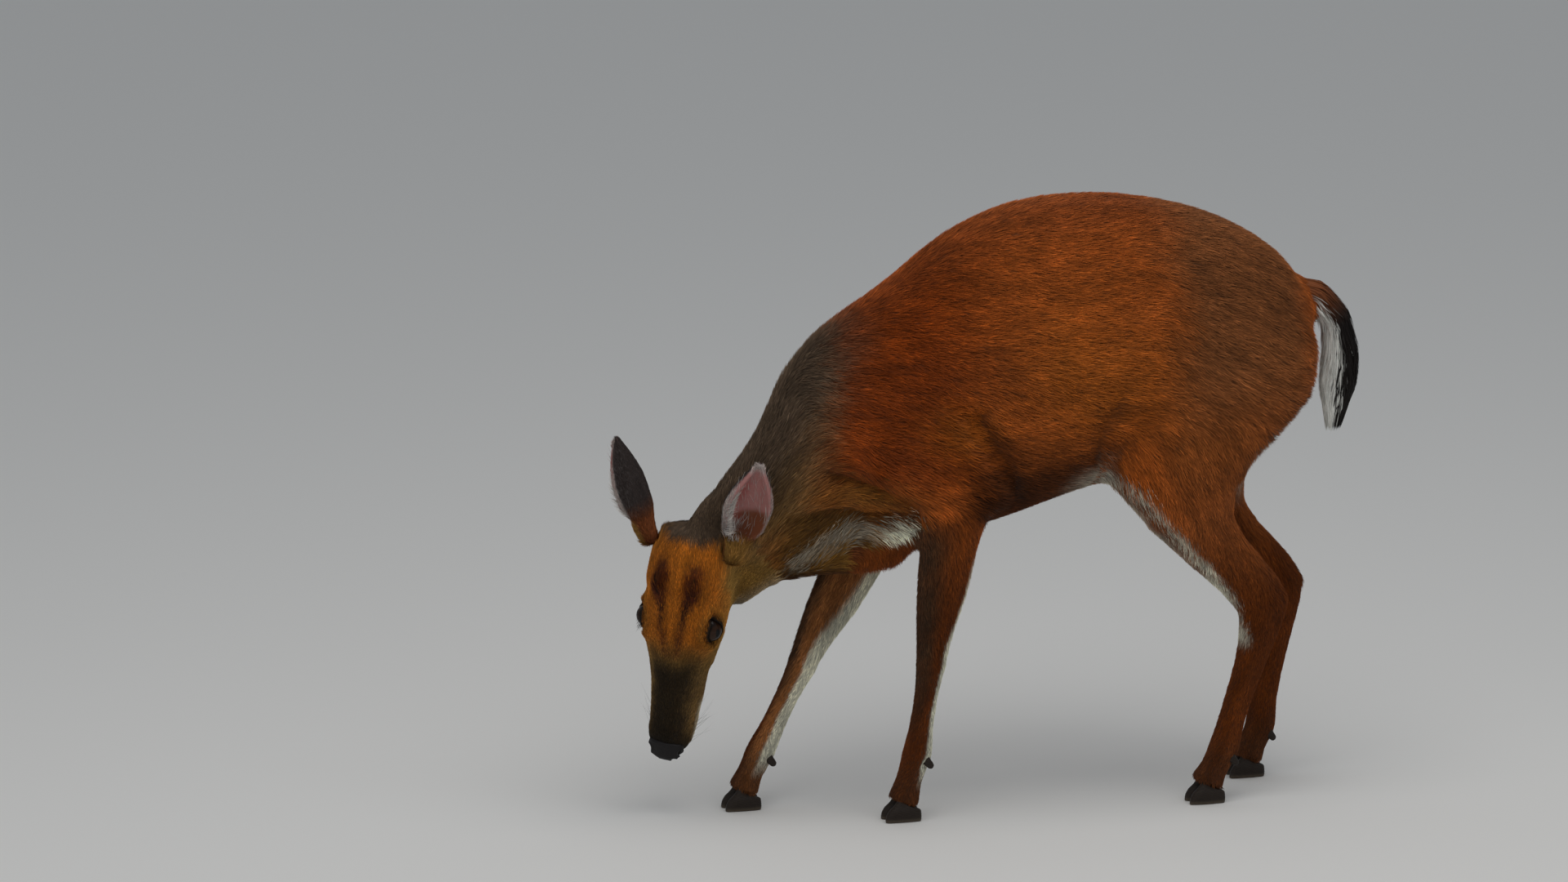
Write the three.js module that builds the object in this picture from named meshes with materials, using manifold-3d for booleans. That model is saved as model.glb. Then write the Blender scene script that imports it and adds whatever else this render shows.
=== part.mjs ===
// A life-size red muntjac doe that browses with her head down and turned to her left, in millimetres.
// She faces -X, her left side is -Y, +Z is up, and her hooves stand on Z = 0.

import * as THREE from "three";
import { mergeVertices } from "three/addons/utils/BufferGeometryUtils.js";
import Module from "manifold-3d";

const wasm = await Module();
wasm.setup();

// Width of the cut between two pieces that touch
const CUT = 0.3;
// The middle of the animal's length and width, which the finished group is moved back by
const MIDDLE_X = 7;
const MIDDLE_Y = 0;

// Rows of faces in the rounded end of a form, and how far in from an end its run is measured
const END_ROWS = 3;
const END_RUN = 0.02;
// Vertices closer than this are one
const SAME_SPOT = 1e-4;

// Trunk: each rib runs from the back line to the belly line
const TRUNK = [
  { back: [314, 484], belly: [297, 396], half: 34, egg: 0.1 },
  { back: [284, 520], belly: [258, 352], half: 62, egg: 0.12 },
  { back: [232, 553], belly: [212, 324], half: 77, egg: 0.05 },
  { back: [163, 575], belly: [160, 309], half: 87, egg: -0.1 },
  { back: [90, 583], belly: [92, 298], half: 96, egg: -0.18 },
  { back: [22, 576], belly: [30, 279], half: 96, egg: -0.2 },
  { back: [-38, 551], belly: [-32, 261], half: 88, egg: -0.2 },
  { back: [-88, 513], belly: [-84, 243], half: 76, egg: -0.12 },
  { back: [-128, 485], belly: [-122, 246], half: 60, egg: -0.05 },
];
const TRUNK_SHAPE = { sides: 20, ends: [14, 24] };

// Neck: each rib runs from the nape to the throat, and yaw turns it towards the head
const NECK = [
  { nape: [-70, 0, 522], throat: [-45, 0, 290], half: 66, egg: 0, yaw: 0 },
  { nape: [-118, 0, 493], throat: [-92, 0, 270], half: 62, egg: 0, yaw: 0 },
  { nape: [-162, 0, 464], throat: [-118, 0, 272], half: 54, egg: 0, yaw: 0 },
  { nape: [-195, 0, 424], throat: [-130, 0, 281], half: 48, egg: 0, yaw: 3 },
  { nape: [-219, -2, 372], throat: [-144, 2, 275], half: 42, egg: -0.05, yaw: 8 },
  { nape: [-243, -5, 339], throat: [-171, 13, 249], half: 38, egg: -0.1, yaw: 20 },
  { nape: [-268, -9, 308], throat: [-205, 31, 214], half: 36, egg: -0.15, yaw: 36 },
  { nape: [-283, -5, 280], throat: [-231, 49, 191], half: 35, egg: -0.1, yaw: 50 },
];
const NECK_SHAPE = { sides: 18 };

// Breast: loose skin that hangs between the throat and the forelegs; each rib runs down to its lower edge
const BREAST = [
  { upper: [-70, 0, 300], edge: [-70, -4, 250], half: 30 },
  { upper: [-96, -2, 302], edge: [-92, -6, 242], half: 34 },
  { upper: [-122, -4, 300], edge: [-118, -6, 239], half: 35 },
  { upper: [-146, -2, 290], edge: [-142, -4, 238], half: 32 },
  { upper: [-170, 4, 276], edge: [-166, 0, 236], half: 26 },
  { upper: [-190, 12, 258], edge: [-186, 8, 230], half: 17 },
  { upper: [-204, 18, 244], edge: [-202, 16, 225], half: 9 },
];
const BREAST_SHAPE = { sides: 12, steps: 1, ends: [8, 6], endRows: 2 };

// Head: the poll, how far the face is turned to her left, leant and rolled, in degrees
const POLL = [-295.4, -18, 272.6];
const HEAD_TURN = 54;
const HEAD_LEAN = -4;
const HEAD_ROLL = 8;
// Skull ribs: distance from the poll towards the nose, then the heights of the brow and jaw lines
const SKULL = [
  { brow: [1, -9], jaw: [6, -82], half: 36, egg: 0.15 },
  { brow: [15, -2], jaw: [24, -92], half: 40, egg: 0.15 },
  { brow: [46, 5], jaw: [54, -94], half: 41, egg: 0.22 },
  { brow: [80, 5], jaw: [88, -85], half: 40, egg: 0.25 },
  { brow: [108, -1], jaw: [112, -76], half: 34, egg: 0.2 },
  { brow: [137, -6], jaw: [140, -66], half: 28, egg: 0.1 },
  { brow: [166, -8], jaw: [166, -59], half: 24.5, egg: 0 },
  { brow: [192, -9], jaw: [191, -53], half: 23, egg: -0.05 },
  { brow: [207, -13], jaw: [204, -47], half: 20.5, egg: 0 },
];
const SKULL_SHAPE = { sides: 20, ends: [9, 8] };
// The lower lip follows the skull ribs beyond this distance
const MUZZLE_FROM = 130;
// Swellings of the cheek, the bone round the eye, the tufted knob above it and the upper lip
const SWELLINGS = [
  { right: 25, ahead: 58, up: -52, size: [13, 32, 27], sides: 10 },
  { right: 22, ahead: 80, up: -23, size: [22, 35, 22], sides: 14 },
  { right: 18, ahead: 45, up: -5, size: [9, 18, 10.5], sides: 8 },
  { right: 15.5, ahead: 182, up: -36, size: [8.5, 26, 8], sides: 10 },
];

const EYE_RADIUS = 12.5;
const EYE_SIDES = 16;
const EYE = { right: 29, ahead: 84, up: -20, look: [0.9, 0.15, 0.4], cant: -0.25 };
const LID_THICKNESS = 2.4;
const EYE_OPENING = { length: 25, height: 15, depth: 30, arcSegments: 8 };

const EAR = { right: 44, ahead: 6, up: -26 };
const EAR_WALL = 2.8;
// Ear ribs: height above the root, half width, and depth behind and before the middle
const EAR_RIBS = [
  { height: -10, half: 10, behind: 10, before: 10 },
  { height: 10, half: 15, behind: 12.5, before: 17 },
  { height: 30, half: 21, behind: 13, before: 18 },
  { height: 52, half: 24, behind: 11.5, before: 16 },
  { height: 75, half: 18, behind: 7.5, before: 11 },
  { height: 92, half: 7, behind: 4, before: 3 },
];
const EAR_SHAPE = { sides: 12, ends: [3, 3] };
// The cup starts this far above the second rib, and is open as far as this before the middle
const EAR_RISE = 6;
const EAR_OPEN = 50;
const EAR_CUP_SHAPE = { sides: 12, ends: [1, 1], endRows: 1 };
// How each ear leans, as shares outwards, towards the nose and out of the face, and which way its cup faces
const EAR_POSE = {
  left: { lean: [0.2, -0.98, 0.09], faces: [0.55, 0, 0.83] },
  right: { lean: [0.4, -0.91, 0.1], faces: [1, 0, 0] },
};

const NOSE = { width: 35, height: 21, ahead: 203, up: -22, depth: 15, egg: 0.25 };
// How much of its height above and below its middle, and of its width, the nose loses towards its tip
const NOSE_TAPER = { above: 0.25, below: 0.1, width: 0.22 };
const NOSE_SHAPE = { sides: 14, ends: [2, 4] };
const NOSTRIL = { right: 9.5, ahead: 218, up: -20, size: [4, 7, 3], sides: 10 };
const MOUTH = { corner: 154, up: -38.5, slope: 3, room: 100 };
// The lower lip: how far it rises above the mouth before it is cut there, and how far it is set in
const LOWER_LIP = { rise: 6, inset: 2 };
const LOWER_LIP_SHAPE = { sides: 16, ends: [6, 4] };

// Leg joints from the top down; each leg has a right and a left set
const FORE_JOINTS = {
  left: [[-62, -20, 490], [-112, -57, 337], [-35, -56, 290], [-61, -48, 165], [-75, -43, 62], [-87, -40, 20]],
  right: [[-72, 20, 485], [-146, 52, 318], [-88, 53, 249], [-155, 47, 148], [-204, 43, 52], [-220, 41, 20]],
};
const HIND_JOINTS = {
  left: [[220, -20, 505], [235, -41, 455], [128, -51, 325], [261, -49, 189], [222, -45, 47], [208, -45, 20]],
  right: [[226, 20, 502], [243, 41, 452], [168, 50, 309], [306, 47, 184], [287, 45, 46], [275, 45, 20]],
};
// Leg ribs: the joint they follow, how far on towards the next, then reach to the front and the rear
const FORE_RIBS = [
  { joint: 0, on: 0, front: 26, rear: 30, half: 14 },
  { joint: 0, on: 0.5, front: 42, rear: 84, half: 29 },
  { joint: 1, on: 0, front: 20, rear: 126, half: 31 },
  { joint: 1, on: 0.5, front: 33, rear: 74, half: 28 },
  { joint: 2, on: 0, front: 48, rear: 32, half: 25 },
  { joint: 2, on: 0.25, front: 39, rear: 26, half: 22 },
  { joint: 2, on: 0.6, front: 30, rear: 24, half: 18.5 },
  { joint: 2, on: 0.85, front: 23, rear: 19, half: 17 },
  { joint: 3, on: 0, front: 18.5, rear: 17.5, half: 17.5 },
  { joint: 3, on: 0.2, front: 14, rear: 15, half: 13.5 },
  { joint: 3, on: 0.45, front: 12, rear: 12.5, half: 11.5 },
  { joint: 3, on: 0.75, front: 12.5, rear: 13, half: 11.5 },
  { joint: 4, on: 0, front: 15, rear: 15, half: 14 },
  { joint: 4, on: 0.5, front: 13.5, rear: 12.5, half: 12.5 },
  { joint: 5, on: 0, front: 16, rear: 16, half: 15 },
];
const HIND_RIBS = [
  { joint: 0, on: 0, front: 50, rear: 50, half: 24 },
  { joint: 1, on: 0, front: 108, rear: 84, half: 37 },
  { joint: 1, on: 0.5, front: 84, rear: 126, half: 37 },
  { joint: 2, on: 0, front: 30, rear: 128, half: 31 },
  { joint: 2, on: 0.2, front: 36, rear: 84, half: 26 },
  { joint: 2, on: 0.42, front: 36, rear: 49, half: 22 },
  { joint: 2, on: 0.7, front: 31, rear: 38, half: 18.5 },
  { joint: 3, on: 0, front: 29, rear: 27, half: 16.5 },
  { joint: 3, on: 0.15, front: 20, rear: 26, half: 15.5 },
  { joint: 3, on: 0.35, front: 14, rear: 21, half: 13.5 },
  { joint: 3, on: 0.6, front: 13, rear: 16, half: 12 },
  { joint: 3, on: 0.8, front: 13.5, rear: 14.5, half: 12 },
  { joint: 4, on: 0, front: 15, rear: 16, half: 14.5 },
  { joint: 4, on: 0.5, front: 14, rear: 14, half: 13 },
  { joint: 5, on: 0, front: 17, rear: 17, half: 15.5 },
];

const LEG_SHAPE = { sides: 14, ends: [10, 8] };
// Where each leg is parted: above the carpus or hock, above the fetlock, and between thigh and gaskin
const LEG_CUTS = {
  cannon: { joint: 3, on: 0.1 },
  foot: { joint: 3, on: 0.88 },
  gaskin: { joint: 2, on: 0.3 },
};

// The room that each leg is parted from the trunk in: its end along X, the flat that bounds it above and the
// one before it, as far ahead at the height of the top and leaning forwards by its lean from there down
const LEG_ROOM = { from: -300, wide: 200, high: 600, under: 20 };
const FORE_ROOM = {
  left: { to: 40, top: 239, slope: 0.75, front: -140, lean: 0 },
  right: { to: -10, top: 234, slope: 0.6, front: -172, lean: 0.42 },
};
const HIND_ROOM = {
  left: { to: 360, top: 306, slope: 0.75, front: 93, lean: 0 },
  right: { to: 380, top: 306, slope: 0.75, front: 116, lean: 0 },
};
const HEAD_CUT = { at: [-238, 0, 278], normal: [-0.757, 0, -0.65] };
const NECK_CUT = { at: [-150, 0, 281], normal: [-0.78, -0.5, -0.38] };
const CHEST_CUT = { at: [32, 0, 0], normal: [1, 0, 0] };
const RUMP_CUT = { at: [152, 0, 0], normal: [1, 0, 0] };

// Hooves: two claws to a foot, with a flat sole
const CLAW = { apart: 7.4, splay: 0.04, cleft: 0.9, sink: 5 };
const CLAW_RIBS = [
  { ahead: -13, high: 16, half: 5 },
  { ahead: -3, high: 25, half: 6.8 },
  { ahead: 8, high: 24, half: 6.4 },
  { ahead: 16, high: 12, half: 4.6 },
];
const CLAW_SHAPE = { sides: 8, steps: 1, ends: [3, 5], endRows: 2 };
const CORONET = { height: 17, normal: [0.36, 0, 1] };
const DEWCLAW = { root: [6, 8, -4], tip: [13, 9, -12], half: 4.6, taper: 0.3 };
const DEWCLAW_SHAPE = { sides: 8, steps: 1, ends: [2, 3], endRows: 2 };

// Tail: outer and inner line of its hair, and how much of that its fleshy core fills
const TAIL = [
  { outer: [300, 500], inner: [288, 470], half: 19 },
  { outer: [333, 486], inner: [312, 460], half: 19 },
  { outer: [357, 457], inner: [330, 440], half: 19 },
  { outer: [368, 419], inner: [330, 410], half: 19 },
  { outer: [368, 383], inner: [326, 378], half: 18 },
  { outer: [356, 341], inner: [329, 338], half: 11 },
];
const TAIL_CORE = { ribs: 5, fill: [1, 0.72, 0.45, 0.45, 0.45] };
const TAIL_CORE_SHAPE = { sides: 12, ends: [4, 6] };
// Locks of the tail's hair: rows along the core, locks round each row, and the sizes of one lock
const TAIL_ROWS = { from: 0.24, to: 0.7, count: 5, around: 5, reach: 0.42, close: 0.5 };
const LOCK = { half: 9.5, thick: 4.4, thinnest: 0.35, bow: 4, root: 0.27 };
const LOCK_SHAPE = [
  { on: 0, wide: 0.6, bow: 0 },
  { on: 0.5, wide: 1, bow: 1 },
  { on: 1, wide: 0.16, bow: 0 },
];
const LOCK_FACES = { sides: 4, steps: 1, ends: [1, 2], endRows: 1 };

// Colours and surfaces
const RUFOUS = { color: 0x8a3f17, roughness: 0.85, metalness: 0 };
const DARK_RUFOUS = { color: 0x5e2c14, roughness: 0.85, metalness: 0 };
const SLATE = { color: 0x4a4341, roughness: 0.85, metalness: 0 };
const TAN = { color: 0x8c5a33, roughness: 0.85, metalness: 0 };
const PINK = { color: 0xa9746a, roughness: 0.7, metalness: 0 };
const HORN = { color: 0x1d1815, roughness: 0.45, metalness: 0 };
const WET_BLACK = { color: 0x0d0b0b, roughness: 0.25, metalness: 0 };
const EYE_BROWN = { color: 0x140b07, roughness: 0.08, metalness: 0 };

const muntjac = new THREE.Group();
const SIDES = { left: -1, right: 1 };

const spot = (x, y, z) => new THREE.Vector3(x, y, z);
const through = (spots) => new THREE.CatmullRomCurve3(spots);
const radians = THREE.MathUtils.degToRad;
const UPRIGHT = spot(0, 0, 1);
const BODY_RIGHT = spot(0, 1, 0);

// A closed body through a row of ribs. A rib runs from its upper to its lower end, and is half wide on each
// side. An egg above 0 makes it wider towards the upper end, and yaw turns its width about the upright.
function loft(ribs, shape) {
  const { across = BODY_RIGHT, sides, steps = 2, ends = [6, 6], endRows = END_ROWS, grow = 0 } = shape;
  const upper = through(ribs.map((rib) => rib.upper));
  const lower = through(ribs.map((rib) => rib.lower));
  const girth = through(ribs.map((rib) => spot(rib.half, rib.egg ?? 0, rib.yaw ?? 0)));
  const middle = (along) => upper.getPoint(along).add(lower.getPoint(along)).multiplyScalar(0.5);
  const outwards = [
    middle(0).sub(middle(END_RUN)).normalize(),
    middle(1).sub(middle(1 - END_RUN)).normalize(),
  ];
  const rows = steps * (ribs.length - 1) + 2 * endRows;
  const form = new THREE.SphereGeometry(1, sides, rows);
  const spots = form.getAttribute("position");
  for (let row = 0; row <= rows; row++) {
    const last = row > rows / 2 ? 1 : 0;
    const intoEnd = Math.max(endRows - row, row - rows + endRows, 0) / endRows;
    const along = THREE.MathUtils.clamp((row - endRows) / (rows - 2 * endRows), 0, 1);
    const shrink = Math.cos((intoEnd * Math.PI) / 2);
    const reach = upper.getPoint(along).sub(lower.getPoint(along)).multiplyScalar(0.5);
    reach.setLength((reach.length() + grow) * shrink);
    const { x: half, y: egg, z: yaw } = girth.getPoint(along);
    const side = across.clone().applyAxisAngle(UPRIGHT, radians(yaw)).multiplyScalar((half + grow) * shrink);
    const bulge = (ends[last] + grow) * Math.sin((intoEnd * Math.PI) / 2);
    const centre = middle(along).addScaledVector(outwards[last], bulge);
    for (let turn = 0; turn <= sides; turn++) {
      const angle = (2 * Math.PI * (turn % sides)) / sides;
      const rise = Math.sin(angle);
      const place = centre.clone().addScaledVector(reach, rise);
      place.addScaledVector(side, Math.cos(angle) * (1 + egg * rise));
      spots.setXYZ(row * (sides + 1) + turn, place.x, place.y, place.z);
    }
  }
  return form;
}

// A closed surface as a solid that can be joined and cut
function solid(form, place = new THREE.Matrix4()) {
  const shell = new THREE.BufferGeometry();
  shell.setIndex(form.index);
  shell.setAttribute("position", form.getAttribute("position").clone());
  const merged = mergeVertices(shell.applyMatrix4(place), SAME_SPOT);
  const triVerts = new Uint32Array(merged.index.array);
  const vertProperties = merged.getAttribute("position").array;
  const made = new wasm.Manifold(new wasm.Mesh({ numProp: 3, vertProperties, triVerts }));
  if (made.volume() > 0) return made;
  // Its ribs ran the other way round, so its faces are turned
  triVerts.reverse();
  return new wasm.Manifold(new wasm.Mesh({ numProp: 3, vertProperties, triVerts }));
}

const join = (bodies) => bodies.reduce((whole, body) => whole.add(body));

// What lies on the side of a flat cut that its normal points to, back from it by half the cut
function beyond(body, at, normal) {
  const way = spot(...normal).normalize();
  return body.trimByPlane(way.toArray(), way.dot(spot(...at)) + CUT / 2);
}

const behind = (body, at, normal) => beyond(body, at, normal.map((part) => -part));

const larger = (one, other) => (other.volume() > one.volume() ? other : one);
const largest = (body) => body.decompose().reduce(larger);

function node(name, body, finish) {
  const { vertProperties, triVerts } = largest(body).getMesh();
  const form = new THREE.BufferGeometry();
  form.setAttribute("position", new THREE.BufferAttribute(vertProperties, 3));
  form.setIndex(new THREE.BufferAttribute(triVerts, 1));
  form.computeVertexNormals();
  const mesh = new THREE.Mesh(form, new THREE.MeshStandardMaterial(finish));
  mesh.name = name;
  muntjac.add(mesh);
}

// Ribs of a leg from its joints. A rib lies across the bone, and turns half way where two bones meet.
function legWay(joints, joint, on) {
  const spots = joints.map((place) => spot(...place));
  const bones = spots.slice(1).map((place, bone) => place.clone().sub(spots[bone]).setY(0).normalize());
  const boneAt = (at) => bones[THREE.MathUtils.clamp(at, 0, bones.length - 1)];
  const bend = (at) => boneAt(at - 1).clone().add(boneAt(at)).normalize();
  return {
    at: spots[joint].clone().lerp(spots[joint + 1] ?? spots[joint], on),
    bone: boneAt(joint),
    way: bend(joint).lerp(bend(joint + 1), on).normalize(),
  };
}

function legRibs(joints, table) {
  return table.map(({ joint, on, front, rear, half }) => {
    const { at, way } = legWay(joints, joint, on);
    const ahead = spot(way.z, 0, -way.x);
    return {
      upper: at.clone().addScaledVector(ahead, front),
      lower: at.clone().addScaledVector(ahead, -rear),
      half,
    };
  });
}

// Parts a leg across one of its bones into what is above and what is below
function partLeg(leg, joints, { joint, on }) {
  const { at, bone, way } = legWay(joints, joint, on);
  const normal = bone.clone().add(way).toArray();
  return [behind(leg, at.toArray(), normal), beyond(leg, at.toArray(), normal)];
}

// The room round one leg, below a flat that slopes up and out from where the leg leaves the trunk
function legRoom(side, { to, top, slope, front, lean }, slack) {
  const { from, wide, high, under } = LEG_ROOM;
  const box = new THREE.BoxGeometry(to - from + 2 * slack, wide, high);
  box.translate((from + to) / 2, side * (wide / 2 + CUT / 2 - slack), high / 2 - under);
  const down = spot(0, side * slope, -1).normalize();
  const rearwards = spot(1, 0, -lean).normalize();
  const below = solid(box).trimByPlane(down.toArray(), down.dot(spot(0, 0, top)) - slack);
  return below.trimByPlane(rearwards.toArray(), rearwards.dot(spot(front, 0, top)) - slack);
}

function claw(coronet, side) {
  const ribs = CLAW_RIBS.map(({ ahead, high, half }) => {
    const along = [coronet[0] - ahead, coronet[1] + side * (CLAW.apart + CLAW.splay * ahead)];
    return { upper: spot(...along, high), lower: spot(...along, -CLAW.sink), half };
  });
  const horn = solid(loft(ribs, CLAW_SHAPE));
  const inner = [0, coronet[1] + side * CLAW.cleft, 0];
  const underCoronet = behind(horn, [coronet[0], 0, CORONET.height], CORONET.normal);
  return beyond(underCoronet, inner, [0, side, 0]).trimByPlane([0, 0, 1], 0);
}

function dewclaw(fetlock, side, grow) {
  const ribs = [DEWCLAW.root, DEWCLAW.tip].map(([back, aside, up], stage) => {
    const middle = spot(...fetlock).add(spot(back, side * aside, up));
    const half = DEWCLAW.half * (1 - DEWCLAW.taper * stage);
    const reach = spot(half, 0, half);
    return { upper: middle.clone().add(reach), lower: middle.sub(reach), half };
  });
  return solid(loft(ribs, { ...DEWCLAW_SHAPE, grow }));
}

// Trunk, neck and breast
const trunkRibs = TRUNK.map(({ back, belly, half, egg }) => ({
  upper: spot(back[0], 0, back[1]),
  lower: spot(belly[0], 0, belly[1]),
  half,
  egg,
}));
const trunk = (grow) => solid(loft(trunkRibs, { ...TRUNK_SHAPE, grow }));
const neckRibs = NECK.map(({ nape, throat, half, egg, yaw }) => ({
  upper: spot(...nape),
  lower: spot(...throat),
  half,
  egg,
  yaw,
}));
const neck = solid(loft(neckRibs, NECK_SHAPE));
const breastRibs = BREAST.map(({ upper, edge, half }) => ({
  upper: spot(...upper),
  lower: spot(...edge),
  half,
}));
const breast = solid(loft(breastRibs, BREAST_SHAPE));

// Head, built looking along +Y with its right at +X and its brow at +Z, then put in its place
const faceOut = spot(-Math.cos(radians(HEAD_TURN)), -Math.sin(radians(HEAD_TURN)), 0);
const headRight = spot(-Math.sin(radians(HEAD_TURN)), Math.cos(radians(HEAD_TURN)), 0);
const headUp = spot(0, 0, 1);
headRight.applyAxisAngle(faceOut, radians(-HEAD_ROLL));
headUp.applyAxisAngle(faceOut, radians(-HEAD_ROLL));
faceOut.applyAxisAngle(headRight, radians(HEAD_LEAN));
headUp.applyAxisAngle(headRight, radians(HEAD_LEAN));
const headPlace = new THREE.Matrix4().makeBasis(headRight, headUp.clone().negate(), faceOut);
headPlace.setPosition(...POLL);

const sideways = spot(1, 0, 0);
const headBody = (ribs, options) => solid(loft(ribs, { across: sideways, ...options }), headPlace);

// A ball or egg in the head, with the given number of sides round it
function ball(size, centre, sides) {
  const form = new THREE.SphereGeometry(1, sides, sides / 2).scale(...size).translate(...centre);
  return solid(form, headPlace);
}

const skullRibs = SKULL.map(({ brow, jaw, half, egg }) => ({
  upper: spot(0, ...brow),
  lower: spot(0, ...jaw),
  half,
  egg,
}));
const skull = headBody(skullRibs, SKULL_SHAPE);

function eyeForm(side, radius) {
  return ball([radius, radius, radius], [side * EYE.right, EYE.ahead, EYE.up], EYE_SIDES);
}

// The almond opening between the lids, run outwards from the middle of the eyeball
function eyeOpening(side) {
  const { length, height, depth, arcSegments: curveSegments } = EYE_OPENING;
  const arcRadius = (length * length) / (4 * height) + height / 4;
  const arcHalf = Math.asin(length / 2 / arcRadius);
  const almond = new THREE.Shape();
  const drop = arcRadius - height / 2;
  almond.absarc(0, -drop, arcRadius, Math.PI / 2 + arcHalf, Math.PI / 2 - arcHalf, true);
  almond.absarc(0, drop, arcRadius, -Math.PI / 2 + arcHalf, -Math.PI / 2 - arcHalf, true);
  const form = new THREE.ExtrudeGeometry(almond, { depth, curveSegments, bevelEnabled: false });
  const look = spot(side * EYE.look[0], EYE.look[1], EYE.look[2]).normalize();
  const forwards = spot(0, 1, EYE.cant).projectOnPlane(look).normalize();
  const place = new THREE.Matrix4().makeBasis(forwards, look.clone().cross(forwards), look);
  place.setPosition(side * EYE.right, EYE.ahead, EYE.up);
  return solid(form, place.premultiply(headPlace));
}

// One ear from its root up
function ear(name, ribs, options) {
  const side = SIDES[name];
  const outwards = ([out, ahead, up]) => spot(side * out, ahead, up);
  const axis = outwards(EAR_POSE[name].lean).normalize();
  const faces = outwards(EAR_POSE[name].faces).projectOnPlane(axis).normalize();
  const place = new THREE.Matrix4().makeBasis(faces.clone().cross(axis).negate(), faces, axis);
  place.setPosition(side * EAR.right, EAR.ahead, EAR.up);
  const standing = ribs.map(({ height, half, behind: rear, before }) => ({
    upper: spot(0, before, height),
    lower: spot(0, -rear, height),
    half,
  }));
  return solid(loft(standing, { across: sideways, ...options }), place.premultiply(headPlace));
}

const earCup = EAR_RIBS.slice(1).map(({ height, half, behind: rear }, step) => ({
  height: height + (step === 0 ? EAR_RISE : 0),
  half: half - EAR_WALL,
  behind: rear - EAR_WALL,
  before: EAR_OPEN,
}));

// The part of the muzzle below the line of the mouth
function underMouth(slack) {
  const { room, slope, corner, up } = MOUTH;
  const box = new THREE.BoxGeometry(room, room + 2 * slack, room + slack);
  box.translate(0, room / 2, (slack - room) / 2);
  box.rotateX(radians(slope)).translate(0, corner, up);
  return solid(box, headPlace);
}

function noseForm(grow) {
  const ribs = [0, 0.5, 1].map((share) => {
    const ahead = NOSE.ahead + NOSE.depth * share;
    const above = (NOSE.height / 2) * (1 - NOSE_TAPER.above * share);
    const below = (NOSE.height / 2) * (1 - NOSE_TAPER.below * share);
    return {
      upper: spot(0, ahead, NOSE.up + above),
      lower: spot(0, ahead, NOSE.up - below),
      half: (NOSE.width / 2) * (1 - NOSE_TAPER.width * share * share),
      egg: NOSE.egg,
    };
  });
  return headBody(ribs, { ...NOSE_SHAPE, grow });
}

const lipRibs = SKULL.filter(({ jaw }) => jaw[0] > MUZZLE_FROM).map(({ jaw, half }) => ({
  upper: spot(0, jaw[0], MOUTH.up + LOWER_LIP.rise),
  lower: spot(0, ...jaw),
  half: half - LOWER_LIP.inset,
}));
const lowerJaw = headBody(lipRibs, LOWER_LIP_SHAPE).intersect(underMouth(0));

let nose = noseForm(0);
for (const side of [-1, 1]) {
  const { right, ahead, up, size, sides } = NOSTRIL;
  nose = nose.subtract(ball(size, [side * right, ahead, up], sides));
}

// Legs join the trunk as one body, which is then parted with thin flat cuts
const legs = [];
for (const [name, side] of Object.entries(SIDES)) {
  const fore = { joints: FORE_JOINTS[name], ribs: FORE_RIBS, room: FORE_ROOM[name] };
  const hind = { joints: HIND_JOINTS[name], ribs: HIND_RIBS, room: HIND_ROOM[name] };
  legs.push({ name: `${name}_fore`, side, ...fore });
  legs.push({ name: `${name}_hind`, side, ...hind });
}
const legForm = ({ joints, ribs }, grow) => solid(loft(legRibs(joints, ribs), { ...LEG_SHAPE, grow }));
let flesh = join([trunk(0), neck, breast, ...legs.map((leg) => legForm(leg, 0))]);
for (const leg of legs) {
  leg.whole = largest(flesh.intersect(legRoom(leg.side, leg.room, 0)));
  flesh = flesh.subtract(legRoom(leg.side, leg.room, CUT));
}

for (const { name, side, joints, whole } of legs) {
  const fetlock = joints[4];
  const coronet = joints[5];
  const clawSides = { inner: -side, outer: side };
  const [upper, lower] = partLeg(whole, joints, LEG_CUTS.cannon);
  const [cannon, pastern] = partLeg(lower, joints, LEG_CUTS.foot);
  if (name.endsWith("hind")) {
    const [thigh, gaskin] = partLeg(upper, joints, LEG_CUTS.gaskin);
    node(`${name}_thigh`, thigh, RUFOUS);
    node(`${name}_gaskin`, gaskin, RUFOUS);
  } else {
    node(`${name}_forearm`, upper, RUFOUS);
  }
  node(`${name}_cannon`, cannon, DARK_RUFOUS);
  let foot = beyond(pastern, [coronet[0], 0, CORONET.height], CORONET.normal);
  for (const [place, clawSide] of Object.entries(clawSides)) {
    foot = foot.subtract(dewclaw(fetlock, clawSide, CUT));
    node(`${name}_dewclaw_${place}`, dewclaw(fetlock, clawSide, 0), HORN);
    node(`${name}_hoof_${place}`, claw(coronet, clawSide), HORN);
  }
  node(`${name}_foot`, foot, DARK_RUFOUS);
}

// Tail: a core that sits in the rump, with rows of locks laid along it
const tailRibs = TAIL.map(({ outer, inner, half }) => ({
  upper: spot(outer[0], 0, outer[1]),
  lower: spot(inner[0], 0, inner[1]),
  half,
}));
const coreRibs = tailRibs.slice(0, TAIL_CORE.ribs).map(({ upper, lower, half }, rib) => {
  const fill = TAIL_CORE.fill[rib];
  const middle = upper.clone().lerp(lower, 0.5);
  return { upper: middle.clone().lerp(upper, fill), lower: middle.lerp(lower, fill), half: half * fill };
});
const tailCore = (grow) => solid(loft(coreRibs, { ...TAIL_CORE_SHAPE, grow }));
const tailOuter = through(tailRibs.map((rib) => rib.upper));
const tailInner = through(tailRibs.map((rib) => rib.lower));
const tailHalf = through(tailRibs.map((rib) => spot(rib.half, 0, 0)));

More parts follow.
